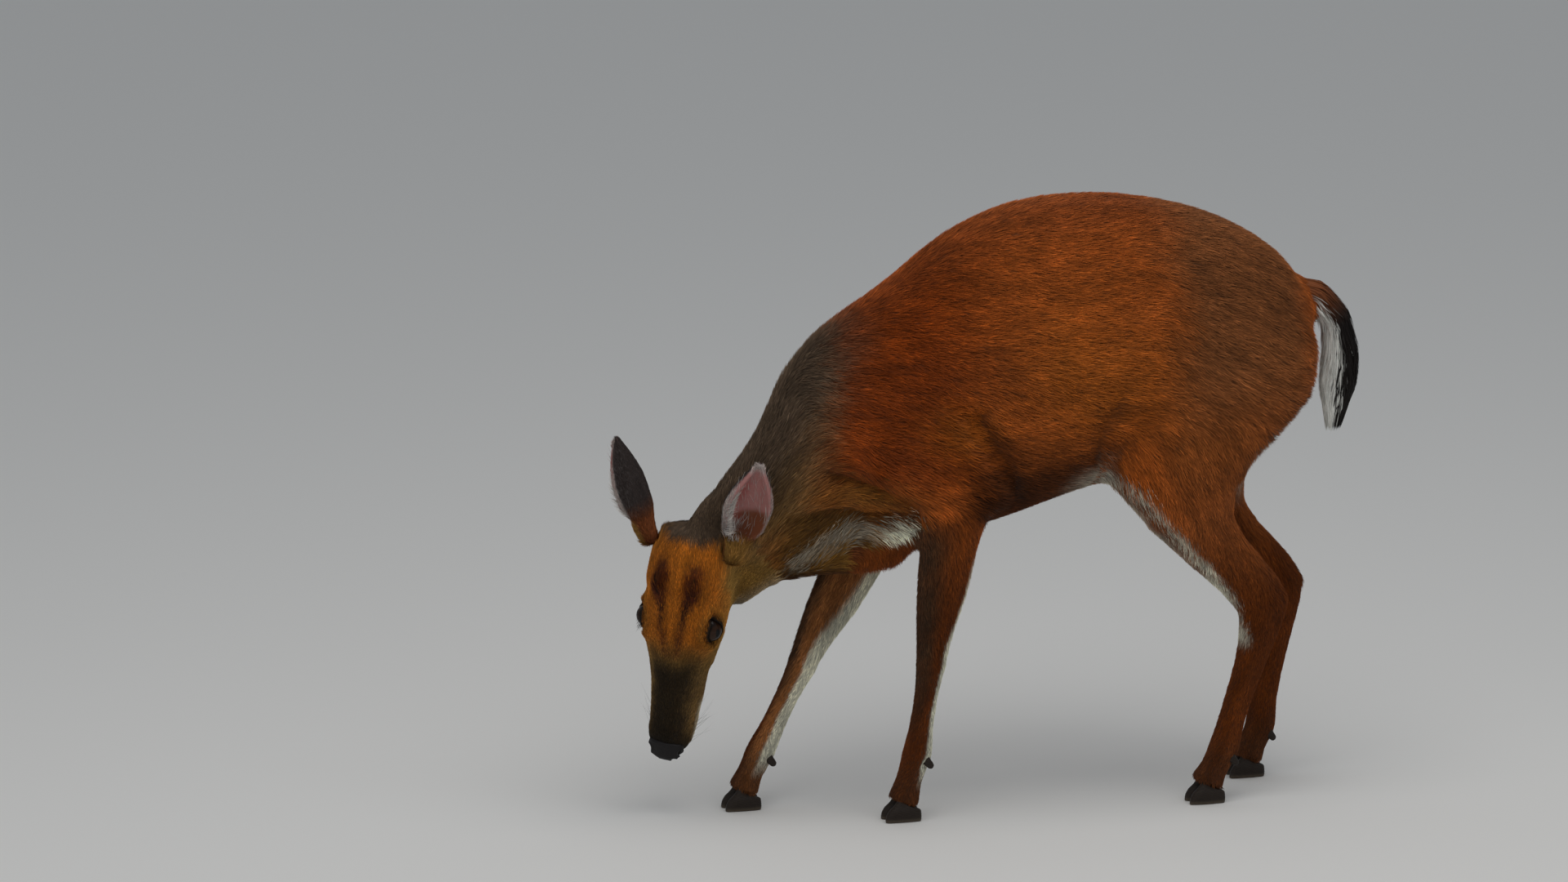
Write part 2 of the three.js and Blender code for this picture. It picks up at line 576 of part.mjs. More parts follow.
// The spot of the hair's surface at a share of the tail's length and a turn round it, drawn in by a share
function tailSpot(along, turn, drawnIn) {
  const [outer, inner] = [tailOuter.getPoint(along), tailInner.getPoint(along)];
  const middle = outer.clone().lerp(inner, 0.5);
  const reach = outer.sub(middle).multiplyScalar(Math.cos(turn) * drawnIn);
  return middle.add(reach).addScaledVector(BODY_RIGHT, tailHalf.getPoint(along).x * Math.sin(turn) * drawnIn);
}

// A flat tapered lock from its root to its tip, bowed outwards in between
function lock(root, tip, out, half) {
  const along = tip.clone().sub(root);
  const length = along.length();
  along.normalize();
  const normal = out.clone().projectOnPlane(along).normalize();
  const place = new THREE.Matrix4().makeBasis(normal.clone().cross(along), normal, along);
  place.setPosition(root);
  const ribs = LOCK_SHAPE.map(({ on, wide, bow }) => {
    const thick = (LOCK.thick / 2) * THREE.MathUtils.lerp(LOCK.thinnest, 1, wide);
    return {
      upper: spot(0, bow * LOCK.bow + thick, on * length),
      lower: spot(0, bow * LOCK.bow - thick, on * length),
      half: half * wide,
    };
  });
  return solid(loft(ribs, { ...LOCK_FACES, across: sideways }), place);
}

const tailLocks = [];
for (let row = 0; row < TAIL_ROWS.count; row++) {
  const share = row / (TAIL_ROWS.count - 1);
  const start = THREE.MathUtils.lerp(TAIL_ROWS.from, TAIL_ROWS.to, share);
  const end = Math.min(start + TAIL_ROWS.reach, 1);
  for (let turn = 0; turn < TAIL_ROWS.around; turn++) {
    const angle = (2 * Math.PI * (turn + 0.5 * (row % 2))) / TAIL_ROWS.around;
    const root = tailSpot(start, angle, LOCK.root);
    const tip = tailSpot(end, angle, THREE.MathUtils.lerp(1, TAIL_ROWS.close, share * share));
    tailLocks.push(lock(root, tip, tailSpot(start, angle, 1).sub(tailSpot(start, angle, 0)), LOCK.half));
  }
}
const hindLegs = legs.filter(({ name }) => name.endsWith("hind"));
const rumpSpace = join([trunk(CUT), ...hindLegs.map((leg) => legForm(leg, CUT))]);
const tail = tailCore(0).add(join(tailLocks).subtract(rumpSpace));
flesh = flesh.subtract(tailCore(CUT));

const earRoom = (name) => ear(name, EAR_RIBS, { ...EAR_SHAPE, grow: CUT });
for (const name of Object.keys(SIDES)) {
  flesh = flesh.subtract(earRoom(name));
}
const body = behind(flesh, HEAD_CUT.at, HEAD_CUT.normal);
let head = flesh.add(skull);
for (const side of [-1, 1]) {
  for (const { right, ahead, up, size, sides } of SWELLINGS) {
    head = head.add(ball(size, [side * right, ahead, up], sides));
  }
  head = head.add(eyeForm(side, EYE_RADIUS + LID_THICKNESS));
}
head = beyond(head, HEAD_CUT.at, HEAD_CUT.normal).subtract(underMouth(CUT));
for (const [name, side] of Object.entries(SIDES)) {
  head = head.subtract(eyeOpening(side)).subtract(eyeForm(side, EYE_RADIUS + CUT));
  head = head.subtract(earRoom(name));
}
head = head.subtract(noseForm(CUT));

const upperNeck = beyond(body, NECK_CUT.at, NECK_CUT.normal);
const torso = behind(body, NECK_CUT.at, NECK_CUT.normal);
const foreTorso = behind(torso, CHEST_CUT.at, CHEST_CUT.normal);
const rearTorso = beyond(torso, CHEST_CUT.at, CHEST_CUT.normal);

node("head", head, TAN);
node("lower_jaw", lowerJaw, TAN);
node("nose", nose, WET_BLACK);
for (const [name, side] of Object.entries(SIDES)) {
  const outer = ear(name, EAR_RIBS, EAR_SHAPE);
  const cup = ear(name, earCup, EAR_CUP_SHAPE);
  node(`ear_${name}`, outer.subtract(cup), name === "left" ? PINK : SLATE);
  node(`eye_${name}`, eyeForm(side, EYE_RADIUS), EYE_BROWN);
}
node("neck", upperNeck, SLATE);
node("chest", foreTorso, RUFOUS);
node("belly", behind(rearTorso, RUMP_CUT.at, RUMP_CUT.normal), RUFOUS);
node("rump", beyond(rearTorso, RUMP_CUT.at, RUMP_CUT.normal), RUFOUS);
node("tail", tail, DARK_RUFOUS);

muntjac.position.set(-MIDDLE_X, -MIDDLE_Y, 0);

export default muntjac;
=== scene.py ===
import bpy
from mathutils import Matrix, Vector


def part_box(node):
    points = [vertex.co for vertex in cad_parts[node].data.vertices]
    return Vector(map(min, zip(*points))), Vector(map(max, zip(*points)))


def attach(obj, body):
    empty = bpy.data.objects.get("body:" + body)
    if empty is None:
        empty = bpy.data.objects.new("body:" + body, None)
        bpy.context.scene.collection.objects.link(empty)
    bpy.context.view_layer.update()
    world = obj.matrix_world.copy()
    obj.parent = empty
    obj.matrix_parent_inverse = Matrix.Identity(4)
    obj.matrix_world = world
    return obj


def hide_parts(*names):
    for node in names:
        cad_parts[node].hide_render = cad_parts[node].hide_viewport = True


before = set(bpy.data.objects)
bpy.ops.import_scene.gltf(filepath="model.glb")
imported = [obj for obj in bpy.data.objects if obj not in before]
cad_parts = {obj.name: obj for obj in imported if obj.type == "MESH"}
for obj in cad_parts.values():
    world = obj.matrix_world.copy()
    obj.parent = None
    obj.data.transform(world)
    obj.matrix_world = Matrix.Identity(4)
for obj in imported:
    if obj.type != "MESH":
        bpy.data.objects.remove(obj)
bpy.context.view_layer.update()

import math
from types import SimpleNamespace

import bmesh
import bpy
import numpy as np
from mathutils import Matrix, Vector
from mathutils.bvhtree import BVHTree

MM = 0.001


# The skin
# One closed hide over head, neck, trunk, legs and the tail's dock, as it is stretched over a carved form.
# It is drawn tight over the solids, softened where flesh is round, and lies under them by the coat's depth.
SKIN_CELL = 4.0 * MM
WELD = 0.01 * MM
# How far the solids are grown so that their seams close, and how far the breast hangs, in millimetres
SEAM_OVERLAP = 0.5
BREAST_DROP = 9
# How far a round of evening out moves a spot to its neighbours, and the rounds for coat depth and form
EVEN = 0.5
DEPTH_ROUNDS, FORM_ROUNDS = 8, 26
# Depth of the coat in millimetres, and how far the form under it is rounded off, for each part
HIDE = {
    "chest": (3.4, 1.0),
    "belly": (3.4, 1.0),
    "rump": (3.4, 1.0),
    "neck": (3.2, 0.8),
    "head": (1.5, 0.3),
    "lower_jaw": (1.2, 0.25),
    "nose": (2.2, 0.2),
    "eye": (1.2, 0.2),
    "forearm": (2.8, 0.6),
    "thigh": (3.2, 0.9),
    "gaskin": (2.2, 0.55),
    "cannon": (1.3, 0.3),
    "foot": (1.1, 0.25),
    "dock": (0.5, 0.4),
}
PARTS = list(HIDE)
HORN_OR_LONG_HAIR = ("hoof", "dewclaw", "ear_", "tail")
PIECES_OF_THEIR_OWN = ("nose", "eye_")
# The dock of the tail: its middle line and the radius along it
DOCK = [(270, 488, 17), (300, 478, 13), (322, 463, 11), (337, 440, 9.5), (341, 412, 8), (339, 384, 6)]
# Folds of the hide over shoulder, elbow and flank, the same on both sides: a line through places given as
# x and z, the depth and the half width, all in millimetres; a depth below 0 is a raised edge
FOLDS = [
    ([(-168, 332), (-129, 321), (-96, 303), (-90, 280)], 5.0, 7),
    ([(-190, 290), (-172, 292), (-144, 294), (-119, 296), (-93, 294)], 4.5, 5),
    ([(-62, 392), (-48, 366), (-31, 338), (-16, 312)], -4.2, 8),
    ([(-36, 388), (-16, 352), (3, 324), (9, 302)], 6.0, 9),
    ([(-104, 420), (-96, 380), (-100, 345)], 2.2, 12),
    ([(98, 400), (80, 360), (82, 330), (94, 312)], 3.6, 10),
    ([(60, 344), (84, 324)], -1.8, 7),
    ([(214, 470), (196, 425), (186, 380)], 1.6, 16),
    ([(226, 300), (214, 268), (232, 236)], 2.2, 7),
]


def part_name(node):
    """The kind of part that a node is, whichever leg or side it belongs to."""
    return next(part for part in PARTS if part in node)


def add_tube(bm, line, rings=16):
    """A closed round form through spots given as x, z and radius in millimetres on the middle plane."""
    loops = []
    for step, (x, z, radius) in enumerate(line):
        before, after = line[max(step - 1, 0)], line[min(step + 1, len(line) - 1)]
        along = Vector((after[0] - before[0], 0, after[1] - before[1])).normalized()
        turn = Vector((0, 0, 1)).rotation_difference(along).to_matrix().to_4x4()
        place = Matrix.Translation(Vector((x, 0, z)) * MM) @ turn
        made = bmesh.ops.create_circle(bm, segments=rings, radius=radius * MM, matrix=place)
        loops.append(made["verts"])
    edges = [{edge for vert in loop for edge in vert.link_edges} for loop in loops]
    for one, other in zip(edges, edges[1:]):
        bmesh.ops.bridge_loops(bm, edges=list(one | other))
    bmesh.ops.contextual_create(bm, geom=loops[0])
    bmesh.ops.contextual_create(bm, geom=loops[-1])
    bmesh.ops.recalc_face_normals(bm, faces=bm.faces)


def add_object(name, data):
    """A new object of the scene for a mesh, a lamp or a camera."""
    made = bpy.data.objects.new(name, data)
    bpy.context.scene.collection.objects.link(made)
    return made


def new_piece(name, bm):
    """The mesh as a new object of the scene."""
    mesh = bpy.data.meshes.new(name)
    bm.to_mesh(mesh)
    bm.free()
    return add_object(name, mesh)


def remesh(piece, cell):
    """Draws one closed skin of even cells over everything in the piece."""
    cells = piece.modifiers.new("cells", "REMESH")
    cells.mode = "VOXEL"
    cells.voxel_size = cell
    graph = bpy.context.evaluated_depsgraph_get()
    mesh = bpy.data.meshes.new_from_object(piece.evaluated_get(graph))
    piece.modifiers.clear()
    piece.data = mesh


def rows_of(items, value, width, kind=np.float32):
    """One value of every item of a mesh, such as where its vertices are, as rows of a width."""
    rows = np.empty(len(items) * width, kind)
    items.foreach_get(value, rows)
    return rows.reshape(-1, width)


def spots(piece):
    """The piece's vertices as rows of x, y and z."""
    return rows_of(piece.data.vertices, "co", 3).astype(float)


def normals(piece):
    """The piece's vertex normals, one row each."""
    return rows_of(piece.data.vertex_normals, "vector", 3).astype(float)


def move_to(piece, rows):
    """Puts the piece's vertices at these rows of x, y and z."""
    piece.data.vertices.foreach_set("co", rows.astype(np.float32).ravel())
    piece.data.shade_smooth()


def unit(rows):
    """Rows or one vector at length 1."""
    rows = np.asarray(rows, float)
    return rows / np.maximum(np.linalg.norm(rows, axis=-1, keepdims=True), 1e-9)


def spread(piece, values, share, rounds):
    """Evens values out over a piece: each round moves them by a share towards their neighbours' mean."""
    one, other = rows_of(piece.data.edges, "vertices", 2, np.int32).T
    size = len(values)
    count = np.bincount(one, minlength=size) + np.bincount(other, minlength=size)
    share = np.broadcast_to(share, size)[:, None]
    for _ in range(rounds):
        total = [
            np.bincount(one, column[other], size) + np.bincount(other, column[one], size)
            for column in values.T
        ]
        values = values + share * (np.stack(total, 1) / count[:, None] - values)
    return values


def ramp(value, low, high):
    """Rises smoothly from 0 at low to 1 at high."""
    share = np.clip((value - low) / (high - low), 0, 1)
    return share * share * (3 - 2 * share)


def fall(value, low, high):
    """Sinks smoothly from 1 at low to 0 at high."""
    return 1 - ramp(value, low, high)


def lump(value, middle_value, wide):
    """A soft hill that is 1 at its middle and sinks to both sides."""
    return np.exp(-(((value - middle_value) / wide) ** 2))


def distance_to(rows, line):
    """How far each row is from a line through spots."""
    best = np.full(len(rows), np.inf)
    for start, end in zip(line, line[1:]):
        start, end = np.array(start, float), np.array(end, float)
        run = end - start
        share = np.clip((rows - start) @ run / (run @ run), 0, 1)
        best = np.minimum(best, np.linalg.norm(rows - start - share[:, None] * run, axis=1))
    return best


flesh_nodes = [
    name for name in sorted(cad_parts) if not any(word in name for word in HORN_OR_LONG_HAIR)
]
flesh = bmesh.new()
node_of_face = flesh.faces.layers.int.new("node")
node_names = []
for name in flesh_nodes + ["dock"]:
    before = len(flesh.faces)
    if name == "dock":
        dock = bmesh.new()
        add_tube(dock, DOCK)
        dock_mesh = bpy.data.meshes.new("dock")
        dock.to_mesh(dock_mesh)
        flesh.from_mesh(dock_mesh)
    else:
        flesh.from_mesh(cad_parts[name].data)
    flesh.faces.ensure_lookup_table()
    for face in flesh.faces[before:]:
        face[node_of_face] = len(node_names)
    node_names.append(name)
bmesh.ops.remove_doubles(flesh, verts=flesh.verts, dist=WELD)
flesh.normal_update()
flesh_surface = BVHTree.FromBMesh(flesh)
flesh_nodes_of_faces = np.array([face[node_of_face] for face in flesh.faces])
part_of_node = np.array([PARTS.index(part_name(name)) for name in node_names])
for vert in flesh.verts:
    vert.co += vert.normal * (SEAM_OVERLAP * MM)
skin = new_piece("skin", flesh)
remesh(skin, SKIN_CELL)


def nodes_at(rows):
    """The number of the node that lies nearest to each spot."""
    nearest = [flesh_surface.find_nearest(Vector(row))[2] for row in rows]
    return flesh_nodes_of_faces[np.array(nearest)]


skin_spots = spots(skin)
skin_part = part_of_node[nodes_at(skin_spots)]
hide = spread(skin, np.array([HIDE[part] for part in PARTS])[skin_part], EVEN, DEPTH_ROUNDS)
depth, softness = hide[:, 0], hide[:, 1]
skin_spots = spread(skin, skin_spots, EVEN * softness**2, FORM_ROUNDS)
move_to(skin, skin_spots)
facing = normals(skin)
from_side = skin_spots[:, [0, 2]] / MM
folds = sum(deep * lump(distance_to(from_side, line), 0, wide) for line, deep, wide in FOLDS)
faces_aside = ramp(np.sign(skin_spots[:, 1]) * facing[:, 1], 0.0, 0.5)
folds *= faces_aside * ramp(np.abs(skin_spots[:, 1]) / MM, 20, 40)
move_to(skin, skin_spots - facing * (depth + SEAM_OVERLAP + folds)[:, None] * MM)
# The loose breast hangs down to its full depth again between the forelegs
skin_spots = spots(skin)
x, y, z = skin_spots.T / MM
hanging = ramp(x, -216, -190) * fall(x, -98, -76) * fall(z, 248, 284) * ramp(z, 214, 226)
skin_spots[:, 2] -= BREAST_DROP * MM * hanging * fall(np.abs(y), 24, 36)
move_to(skin, skin_spots)


# The face
# The hide round the eyes, the scent glands, the mouth and the brow is folded and stitched down more finely.
# Head places are in millimetres: to her right, ahead from the poll towards the nose, and out of the brow.
EYE_FROM_POLL = (29, 84, -20)
EYE_RADIUS = 12.5
EYE_LOOK = (0.9, 0.15, 0.4)
EYE_CANT = -0.25
EYE_OPENING = (12.6, 8.4)
LID = 1.1
LID_FOLD = 1.1
POCKET_DEPTH = 3


def middle(node):
    """The middle of a node's box."""
    low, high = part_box(node)
    return np.array((low + high) / 2)


left_eye, right_eye = middle("eye_left"), middle("eye_right")
between_eyes = (left_eye + right_eye) / 2
head_right = unit(right_eye - left_eye)
towards_nose = middle("nose") - between_eyes
head_ahead = unit(towards_nose - head_right * (towards_nose @ head_right))
head_out = np.cross(head_right, head_ahead)
head_axes = np.stack([head_right, head_ahead, head_out])
poll = between_eyes - (EYE_FROM_POLL[1] * head_ahead + EYE_FROM_POLL[2] * head_out) * MM


def in_head(rows):
    """Spots in head places."""
    return (rows - poll) @ head_axes.T / MM


def from_head(places):
    """Head places as spots of the frame."""
    return poll + np.asarray(places, float) @ head_axes * MM


def refine(piece, inside):
    """Splits each cell of the piece whose middle is inside into four."""
    bm = bmesh.new()
    bm.from_mesh(piece.data)
    bm.faces.ensure_lookup_table()
    middles = np.array([face.calc_center_median() for face in bm.faces])
    chosen = inside(in_head(middles))
    edges = {edge for face, take in zip(bm.faces, chosen) if take for edge in face.edges}
    bmesh.ops.subdivide_edges(bm, edges=list(edges), cuts=1, use_grid_fill=True, smooth=0)
    bm.to_mesh(piece.data)
    bm.free()


def head_region(places):
    """The face from the brow to the nose."""
    right, ahead, out = places.T
    return (ahead > -16) & (ahead < 230) & (np.abs(right) < 50) & (out > -92) & (out < 20)


def fine_region(places):
    """Round the eyes and glands, and the end of the muzzle."""
    right, ahead, out = places.T
    by_eye = (np.abs(right) > 14) & (ahead > 62) & (ahead < 128) & (out > -42) & (out < 8)
    return by_eye | (ahead > 150) & (ahead < 230) & (np.abs(right) < 40)


refine(skin, head_region)
refine(skin, fine_region)
skin_spots = spots(skin)
head_share = ramp(in_head(skin_spots)[:, 1], -40, 0) * (np.abs(in_head(skin_spots)[:, 0]) < 60)
skin_spots = spread(skin, skin_spots, EVEN * head_share, 2)


def on_side(place, side):
    """A head place of her right half, or the same on her left where side is -1."""
    return np.array(place) * (side, 1, 1)


def eye_axes(side):
    """The ways along an eye's lids, across them and out of the eye, in head places."""
    look = unit(on_side(EYE_LOOK, side))
    forwards = np.array((0, 1, EYE_CANT))
    forwards = unit(forwards - look * (forwards @ look))
    return np.stack([forwards, side * np.cross(look, forwards), look])


def lid_ring(from_eye):
    """How far spots are from an eye's middle, in shares of the almond between its lids."""
    along, over, outwards = from_eye.T
    over, along = np.abs(over) / EYE_OPENING[1], along / EYE_OPENING[0]
    ring = (over + np.sqrt(over**2 + 4 * along**2)) / 2
    near = (outwards > -6) & (np.linalg.norm(from_eye, axis=1) < 34)
    return np.where(near, ring, 9.0)


places = in_head(skin_spots)
for side in (-1, 1):
    axes = eye_axes(side)
    from_eye = (places - on_side(EYE_FROM_POLL, side)) @ axes.T
    along, over, outwards = from_eye.T
    ring = lid_ring(from_eye)
    off_axis = np.minimum(along**2 + over**2, (EYE_RADIUS + LID - 0.4) ** 2)
    lid_height = np.sqrt((EYE_RADIUS + LID) ** 2 - off_axis)
    pocket = np.sqrt(np.maximum((EYE_RADIUS - POCKET_DEPTH) ** 2 - along**2 - over**2, 0))
    lid_share = fall(ring, 1.1, 1.7)
    fold = LID_FOLD * lump(ring, 1.5, 0.12) * ramp(over, -2, 4)
    target = np.where(ring < 1, pocket, lid_height)
    change = lid_share * (target - outwards) - fold
    places = places + np.where(ring < 3, change, 0)[:, None] * axes[2]

# The slit of a scent gland, the crease of the brow and the line of the mouth, and how deep they are
GLAND = [(25.5, 101, -19), (23, 110, -20), (21.5, 119, -22)]
GLAND_DEPTH, GLAND_RIM = 3.2, 0.9
FOREHEAD_LINE = [(15, 52, 6), (10.5, 80, 6), (8, 104, 2)]
FOREHEAD_DEPTH = 0.9
MOUTH_CORNER = (23, 154, -38.5)
MOUTH_SLOPE = math.tan(math.radians(3))
MOUTH_DEPTH = 2.4
# Bony and fleshy swellings and hollows of her right half, as a line, the height and the half width
SWELLINGS = [
    ([(18, 42, 3), (17, 47, 4)], 2.2, 6),
    ([(16, 54, 6), (12, 78, 6), (9, 96, 3)], 1.3, 4),
    ([(0, 60, 5), (0, 84, 5)], -1.4, 6),
    ([(36, 56, -14), (39, 62, -26)], -2.0, 8),
    ([(38, 92, -36), (33, 108, -38), (28, 122, -38)], 1.3, 5),
    ([(31, 112, -52), (27, 132, -48)], -1.8, 8),
    ([(33, 44, -52), (33, 62, -66)], 1.4, 15),
    ([(20, 124, -16), (19, 146, -18)], -1.4, 7),
    ([(18, 196, -24), (16, 205, -24)], 1.3, 6),
    ([(50, 12, -42), (48, 20, -48)], 3.2, 8),
    ([(23, 152, -36), (22, 166, -38)], 0.8, 4),
]


def mirrored(places):
    """Head places with both sides of the face laid on her right."""
    return places * np.where(places[:, :1] < 0, (-1, 1, 1), (1, 1, 1))


def above_mouth(places):
    """How far each place of the muzzle is above the line of the mouth."""
    return places[:, 2] - MOUTH_CORNER[2] - (places[:, 1] - MOUTH_CORNER[1]) * MOUTH_SLOPE


move_to(skin, from_head(places))
inwards = -(normals(skin) @ head_axes.T)
right_half = mirrored(places)
gland = GLAND_DEPTH * lump(distance_to(right_half, GLAND), 0, 1.5)
gland_rim = -GLAND_RIM * lump(distance_to(right_half, GLAND), 4, 1.6)
forehead = FOREHEAD_DEPTH * lump(distance_to(right_half, FOREHEAD_LINE), 0, 2)
before_corner = ramp(places[:, 1], MOUTH_CORNER[1] - 3, MOUTH_CORNER[1] + 4)
mouth = MOUTH_DEPTH * lump(above_mouth(places), 0, 1.0) * before_corner
carve = (gland + gland_rim + forehead + mouth) * (places[:, 1] > 0)
for line, high, wide in SWELLINGS:
    carve -= high * lump(distance_to(right_half, line), 0, wide)
carve *= (places[:, 1] > -30) & (places[:, 1] < 230) & (np.abs(places[:, 0]) < 60)
move_to(skin, from_head(places + inwards * carve[:, None]))
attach(skin, "root")
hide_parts(*[name for name in flesh_nodes if not name.startswith(PIECES_OF_THEIR_OWN)])


# The ears
# Thin leaf-shaped cups of gristle, slate-haired behind, bare and pink inside, and set low on the skull,
# each turned its own way. Ear places are in millimetres: across, out of the cup, and from root to tip.
EAR_CELL = 1.0 * MM
EAR_ROOT = (44, 6, -26)
EAR_LEAN = {"left": (0.2, -0.98, 0.09), "right": (0.4, -0.91, 0.1)}
EAR_FACES = {"left": (0.55, 0, 0.83), "right": (1, 0, 0)}
EAR_HALF = [(-10, 10), (10, 15), (30, 21), (52, 24), (75, 18), (92, 7)]
# How far the cup's lower lip is drawn back, and by how much the root and the tip are drawn in
LIP_DRAW = 7
ROOT_DRAW, TIP_DRAW = 0.26, 0.3
SIDES = {"left": -1, "right": 1}


def form_of(node, name, cell):
    """The form of a node as a piece of its own, with one closed skin of even cells."""
    bm = bmesh.new()
    bm.from_mesh(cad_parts[node].data)
    bmesh.ops.remove_doubles(bm, verts=bm.verts, dist=WELD)
    piece = new_piece(name, bm)
    remesh(piece, cell)
    return piece


def ear_axes(name):
    """The ways across an ear, out of its cup and along it to its tip, in head places."""
    outwards = np.array((SIDES[name], 1, 1))
    lean = unit(EAR_LEAN[name] * outwards)
    faces = EAR_FACES[name] * outwards
    faces = unit(faces - lean * (faces @ lean))
    return np.stack([np.cross(lean, faces), faces, lean])


def in_ear(rows, name):
    """Spots in the places of an ear."""
    return (in_head(rows) - on_side(EAR_ROOT, SIDES[name])) @ ear_axes(name).T


def from_ear(places, name):
    """Places of an ear as spots of the frame."""
    return from_head(places @ ear_axes(name) + on_side(EAR_ROOT, SIDES[name]))


def ear_zones(rows, facing, name):
    """Share across to the front margin, height, hollow of the cup, rim, and facing out of the cup."""
    across, _, height = in_ear(rows, name).T
    turned = facing @ head_axes.T @ ear_axes(name).T
    front = SIDES[name] * across / np.interp(height, *zip(*EAR_HALF))
    inwards = np.maximum(turned[:, 1], -np.sign(across) * turned[:, 0])
    hollow = ramp(inwards, 0.1, 0.45) * ramp(height, 12, 20)
    rim = ramp(turned[:, 1], -0.1, 0.5) * ramp(np.abs(front), 0.78, 0.93) * ramp(height, 14, 24)
    rim = np.maximum(rim, ramp(height, 83, 90) * ramp(turned[:, 1], -0.2, 0.4))
    return front, height, hollow, rim, turned[:, 1]


ears = {}
for name in SIDES:
    ear = form_of("ear_" + name, "ear_cup_" + name, EAR_CELL)
    ear_places = in_ear(spread(ear, spots(ear), EVEN, 16), name)
    # The cup's lower lip is drawn back, so that the hollow runs out in a notch
    ear_places[:, 1] -= LIP_DRAW * lump(ear_places[:, 2], 17, 9) * ramp(ear_places[:, 1], 3, 14)
    ear_places[:, :2] *= (1 - ROOT_DRAW * fall(ear_places[:, 2], 4, 26))[:, None]
    ear_places[:, 0] *= 1 - TIP_DRAW * np.clip((ear_places[:, 2] - 48) / 48, 0, 1) ** 1.4
    move_to(ear, spread(ear, from_ear(ear_places, name), EVEN, 8))
    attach(ear, "root")
    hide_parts("ear_" + name)
    ears[name] = ear


# The eyes
# Large dark eyeballs with a wet clear front, a brown iris and a level oblong pupil, set behind the lids.
PUPIL = (5.4, 2.6)
IRIS = 9.0
# How far the clear front stands out of the ball, and how far in front of its middle it starts
FRONT_BULGE, FRONT_START = 1.0, 8.5
FILM_ROUGHNESS, FILM_IOR = 0.03, 1.38
EYE_RIM = np.array((0.012, 0.006, 0.004))
EYE_BROWN = np.array((0.030, 0.012, 0.005))
EYE_BLACK = np.array((0.002, 0.002, 0.003))


def mix(one, other, share):
    """Rows of one colour with a share of another laid over them."""
    share = np.clip(share, 0, 1)[:, None]
    return one * (1 - share) + other * share


def set_tint(mesh, colours):
    """Keeps a colour at every vertex for the finish to read."""
    rows = np.ones((len(mesh.vertices), 4), np.float32)
    rows[:, :3] = colours
    mesh.attributes.new("tint", "FLOAT_COLOR", "POINT").data.foreach_set("color", rows.ravel())


def fine_grain():
    """Small uneven lumps from 0 to 1 over a surface, from soft grain to round pebbles, for any finish."""
    group = bpy.data.node_groups.new("fine_grain", "ShaderNodeTree")
    for socket in ("Lumps per metre", "Pebbles"):
        group.interface.new_socket(socket, in_out="INPUT", socket_type="NodeSocketFloat")
    group.interface.new_socket("Grain", in_out="OUTPUT", socket_type="NodeSocketFloat")
    inputs, output = group.nodes.new("NodeGroupInput"), group.nodes.new("NodeGroupOutput")
    place = group.nodes.new("ShaderNodeTexCoord").outputs["Object"]
    soft = group.nodes.new("ShaderNodeTexNoise")
    soft.inputs["Detail"].default_value = 5
    round_lumps = group.nodes.new("ShaderNodeTexVoronoi")
    blend = group.nodes.new("ShaderNodeMix")
    for texture in (soft, round_lumps):
        group.links.new(place, texture.inputs["Vector"])
        group.links.new(inputs.outputs["Lumps per metre"], texture.inputs["Scale"])
    group.links.new(inputs.outputs["Pebbles"], blend.inputs["Factor"])
    group.links.new(soft.outputs["Fac"], blend.inputs["A"])
    group.links.new(round_lumps.outputs["Distance"], blend.inputs["B"])
    group.links.new(blend.outputs["Result"], output.inputs["Grain"])
    return group


grain_group = fine_grain()


def finish(name, lumps, pebbles, relief, roughness, mottle, shine):
    """A finish that takes its colour from the tint, mottled, roughened and embossed by fine grain."""
    made = bpy.data.materials.new(name)
    made.use_nodes = True
    tree = made.node_tree
    surface = tree.nodes["Principled BSDF"]
    grain = tree.nodes.new("ShaderNodeGroup")
    grain.node_tree = grain_group
    grain.inputs["Lumps per metre"].default_value = lumps
    grain.inputs["Pebbles"].default_value = pebbles
    tint = tree.nodes.new("ShaderNodeAttribute")
    tint.attribute_name = "tint"
    strength, gloss = tree.nodes.new("ShaderNodeMapRange"), tree.nodes.new("ShaderNodeMapRange")
    shaded, bump = tree.nodes.new("ShaderNodeVectorMath"), tree.nodes.new("ShaderNodeBump")
    shaded.operation = "SCALE"
    for node, (low, high) in ((strength, (1 - mottle, 1 + mottle)), (gloss, roughness)):
        tree.links.new(grain.outputs["Grain"], node.inputs["Value"])
        node.inputs["To Min"].default_value = low
        node.inputs["To Max"].default_value = high
    tree.links.new(tint.outputs["Color"], shaded.inputs[0])
    tree.links.new(strength.outputs["Result"], shaded.inputs["Scale"])
    tree.links.new(shaded.outputs["Vector"], surface.inputs["Base Color"])
    tree.links.new(gloss.outputs["Result"], surface.inputs["Roughness"])
    tree.links.new(grain.outputs["Grain"], bump.inputs["Height"])
    bump.inputs["Distance"].default_value = relief * MM
    tree.links.new(bump.outputs["Normal"], surface.inputs["Normal"])
    surface.inputs["Specular IOR Level"].default_value = shine
    return made


def wet(made, film):
    """Lays a clear wet film over a finish."""
    surface = made.node_tree.nodes["Principled BSDF"]
    surface.inputs["Coat Weight"].default_value = film
    surface.inputs["Coat Roughness"].default_value = FILM_ROUGHNESS
    surface.inputs["Coat IOR"].default_value = FILM_IOR


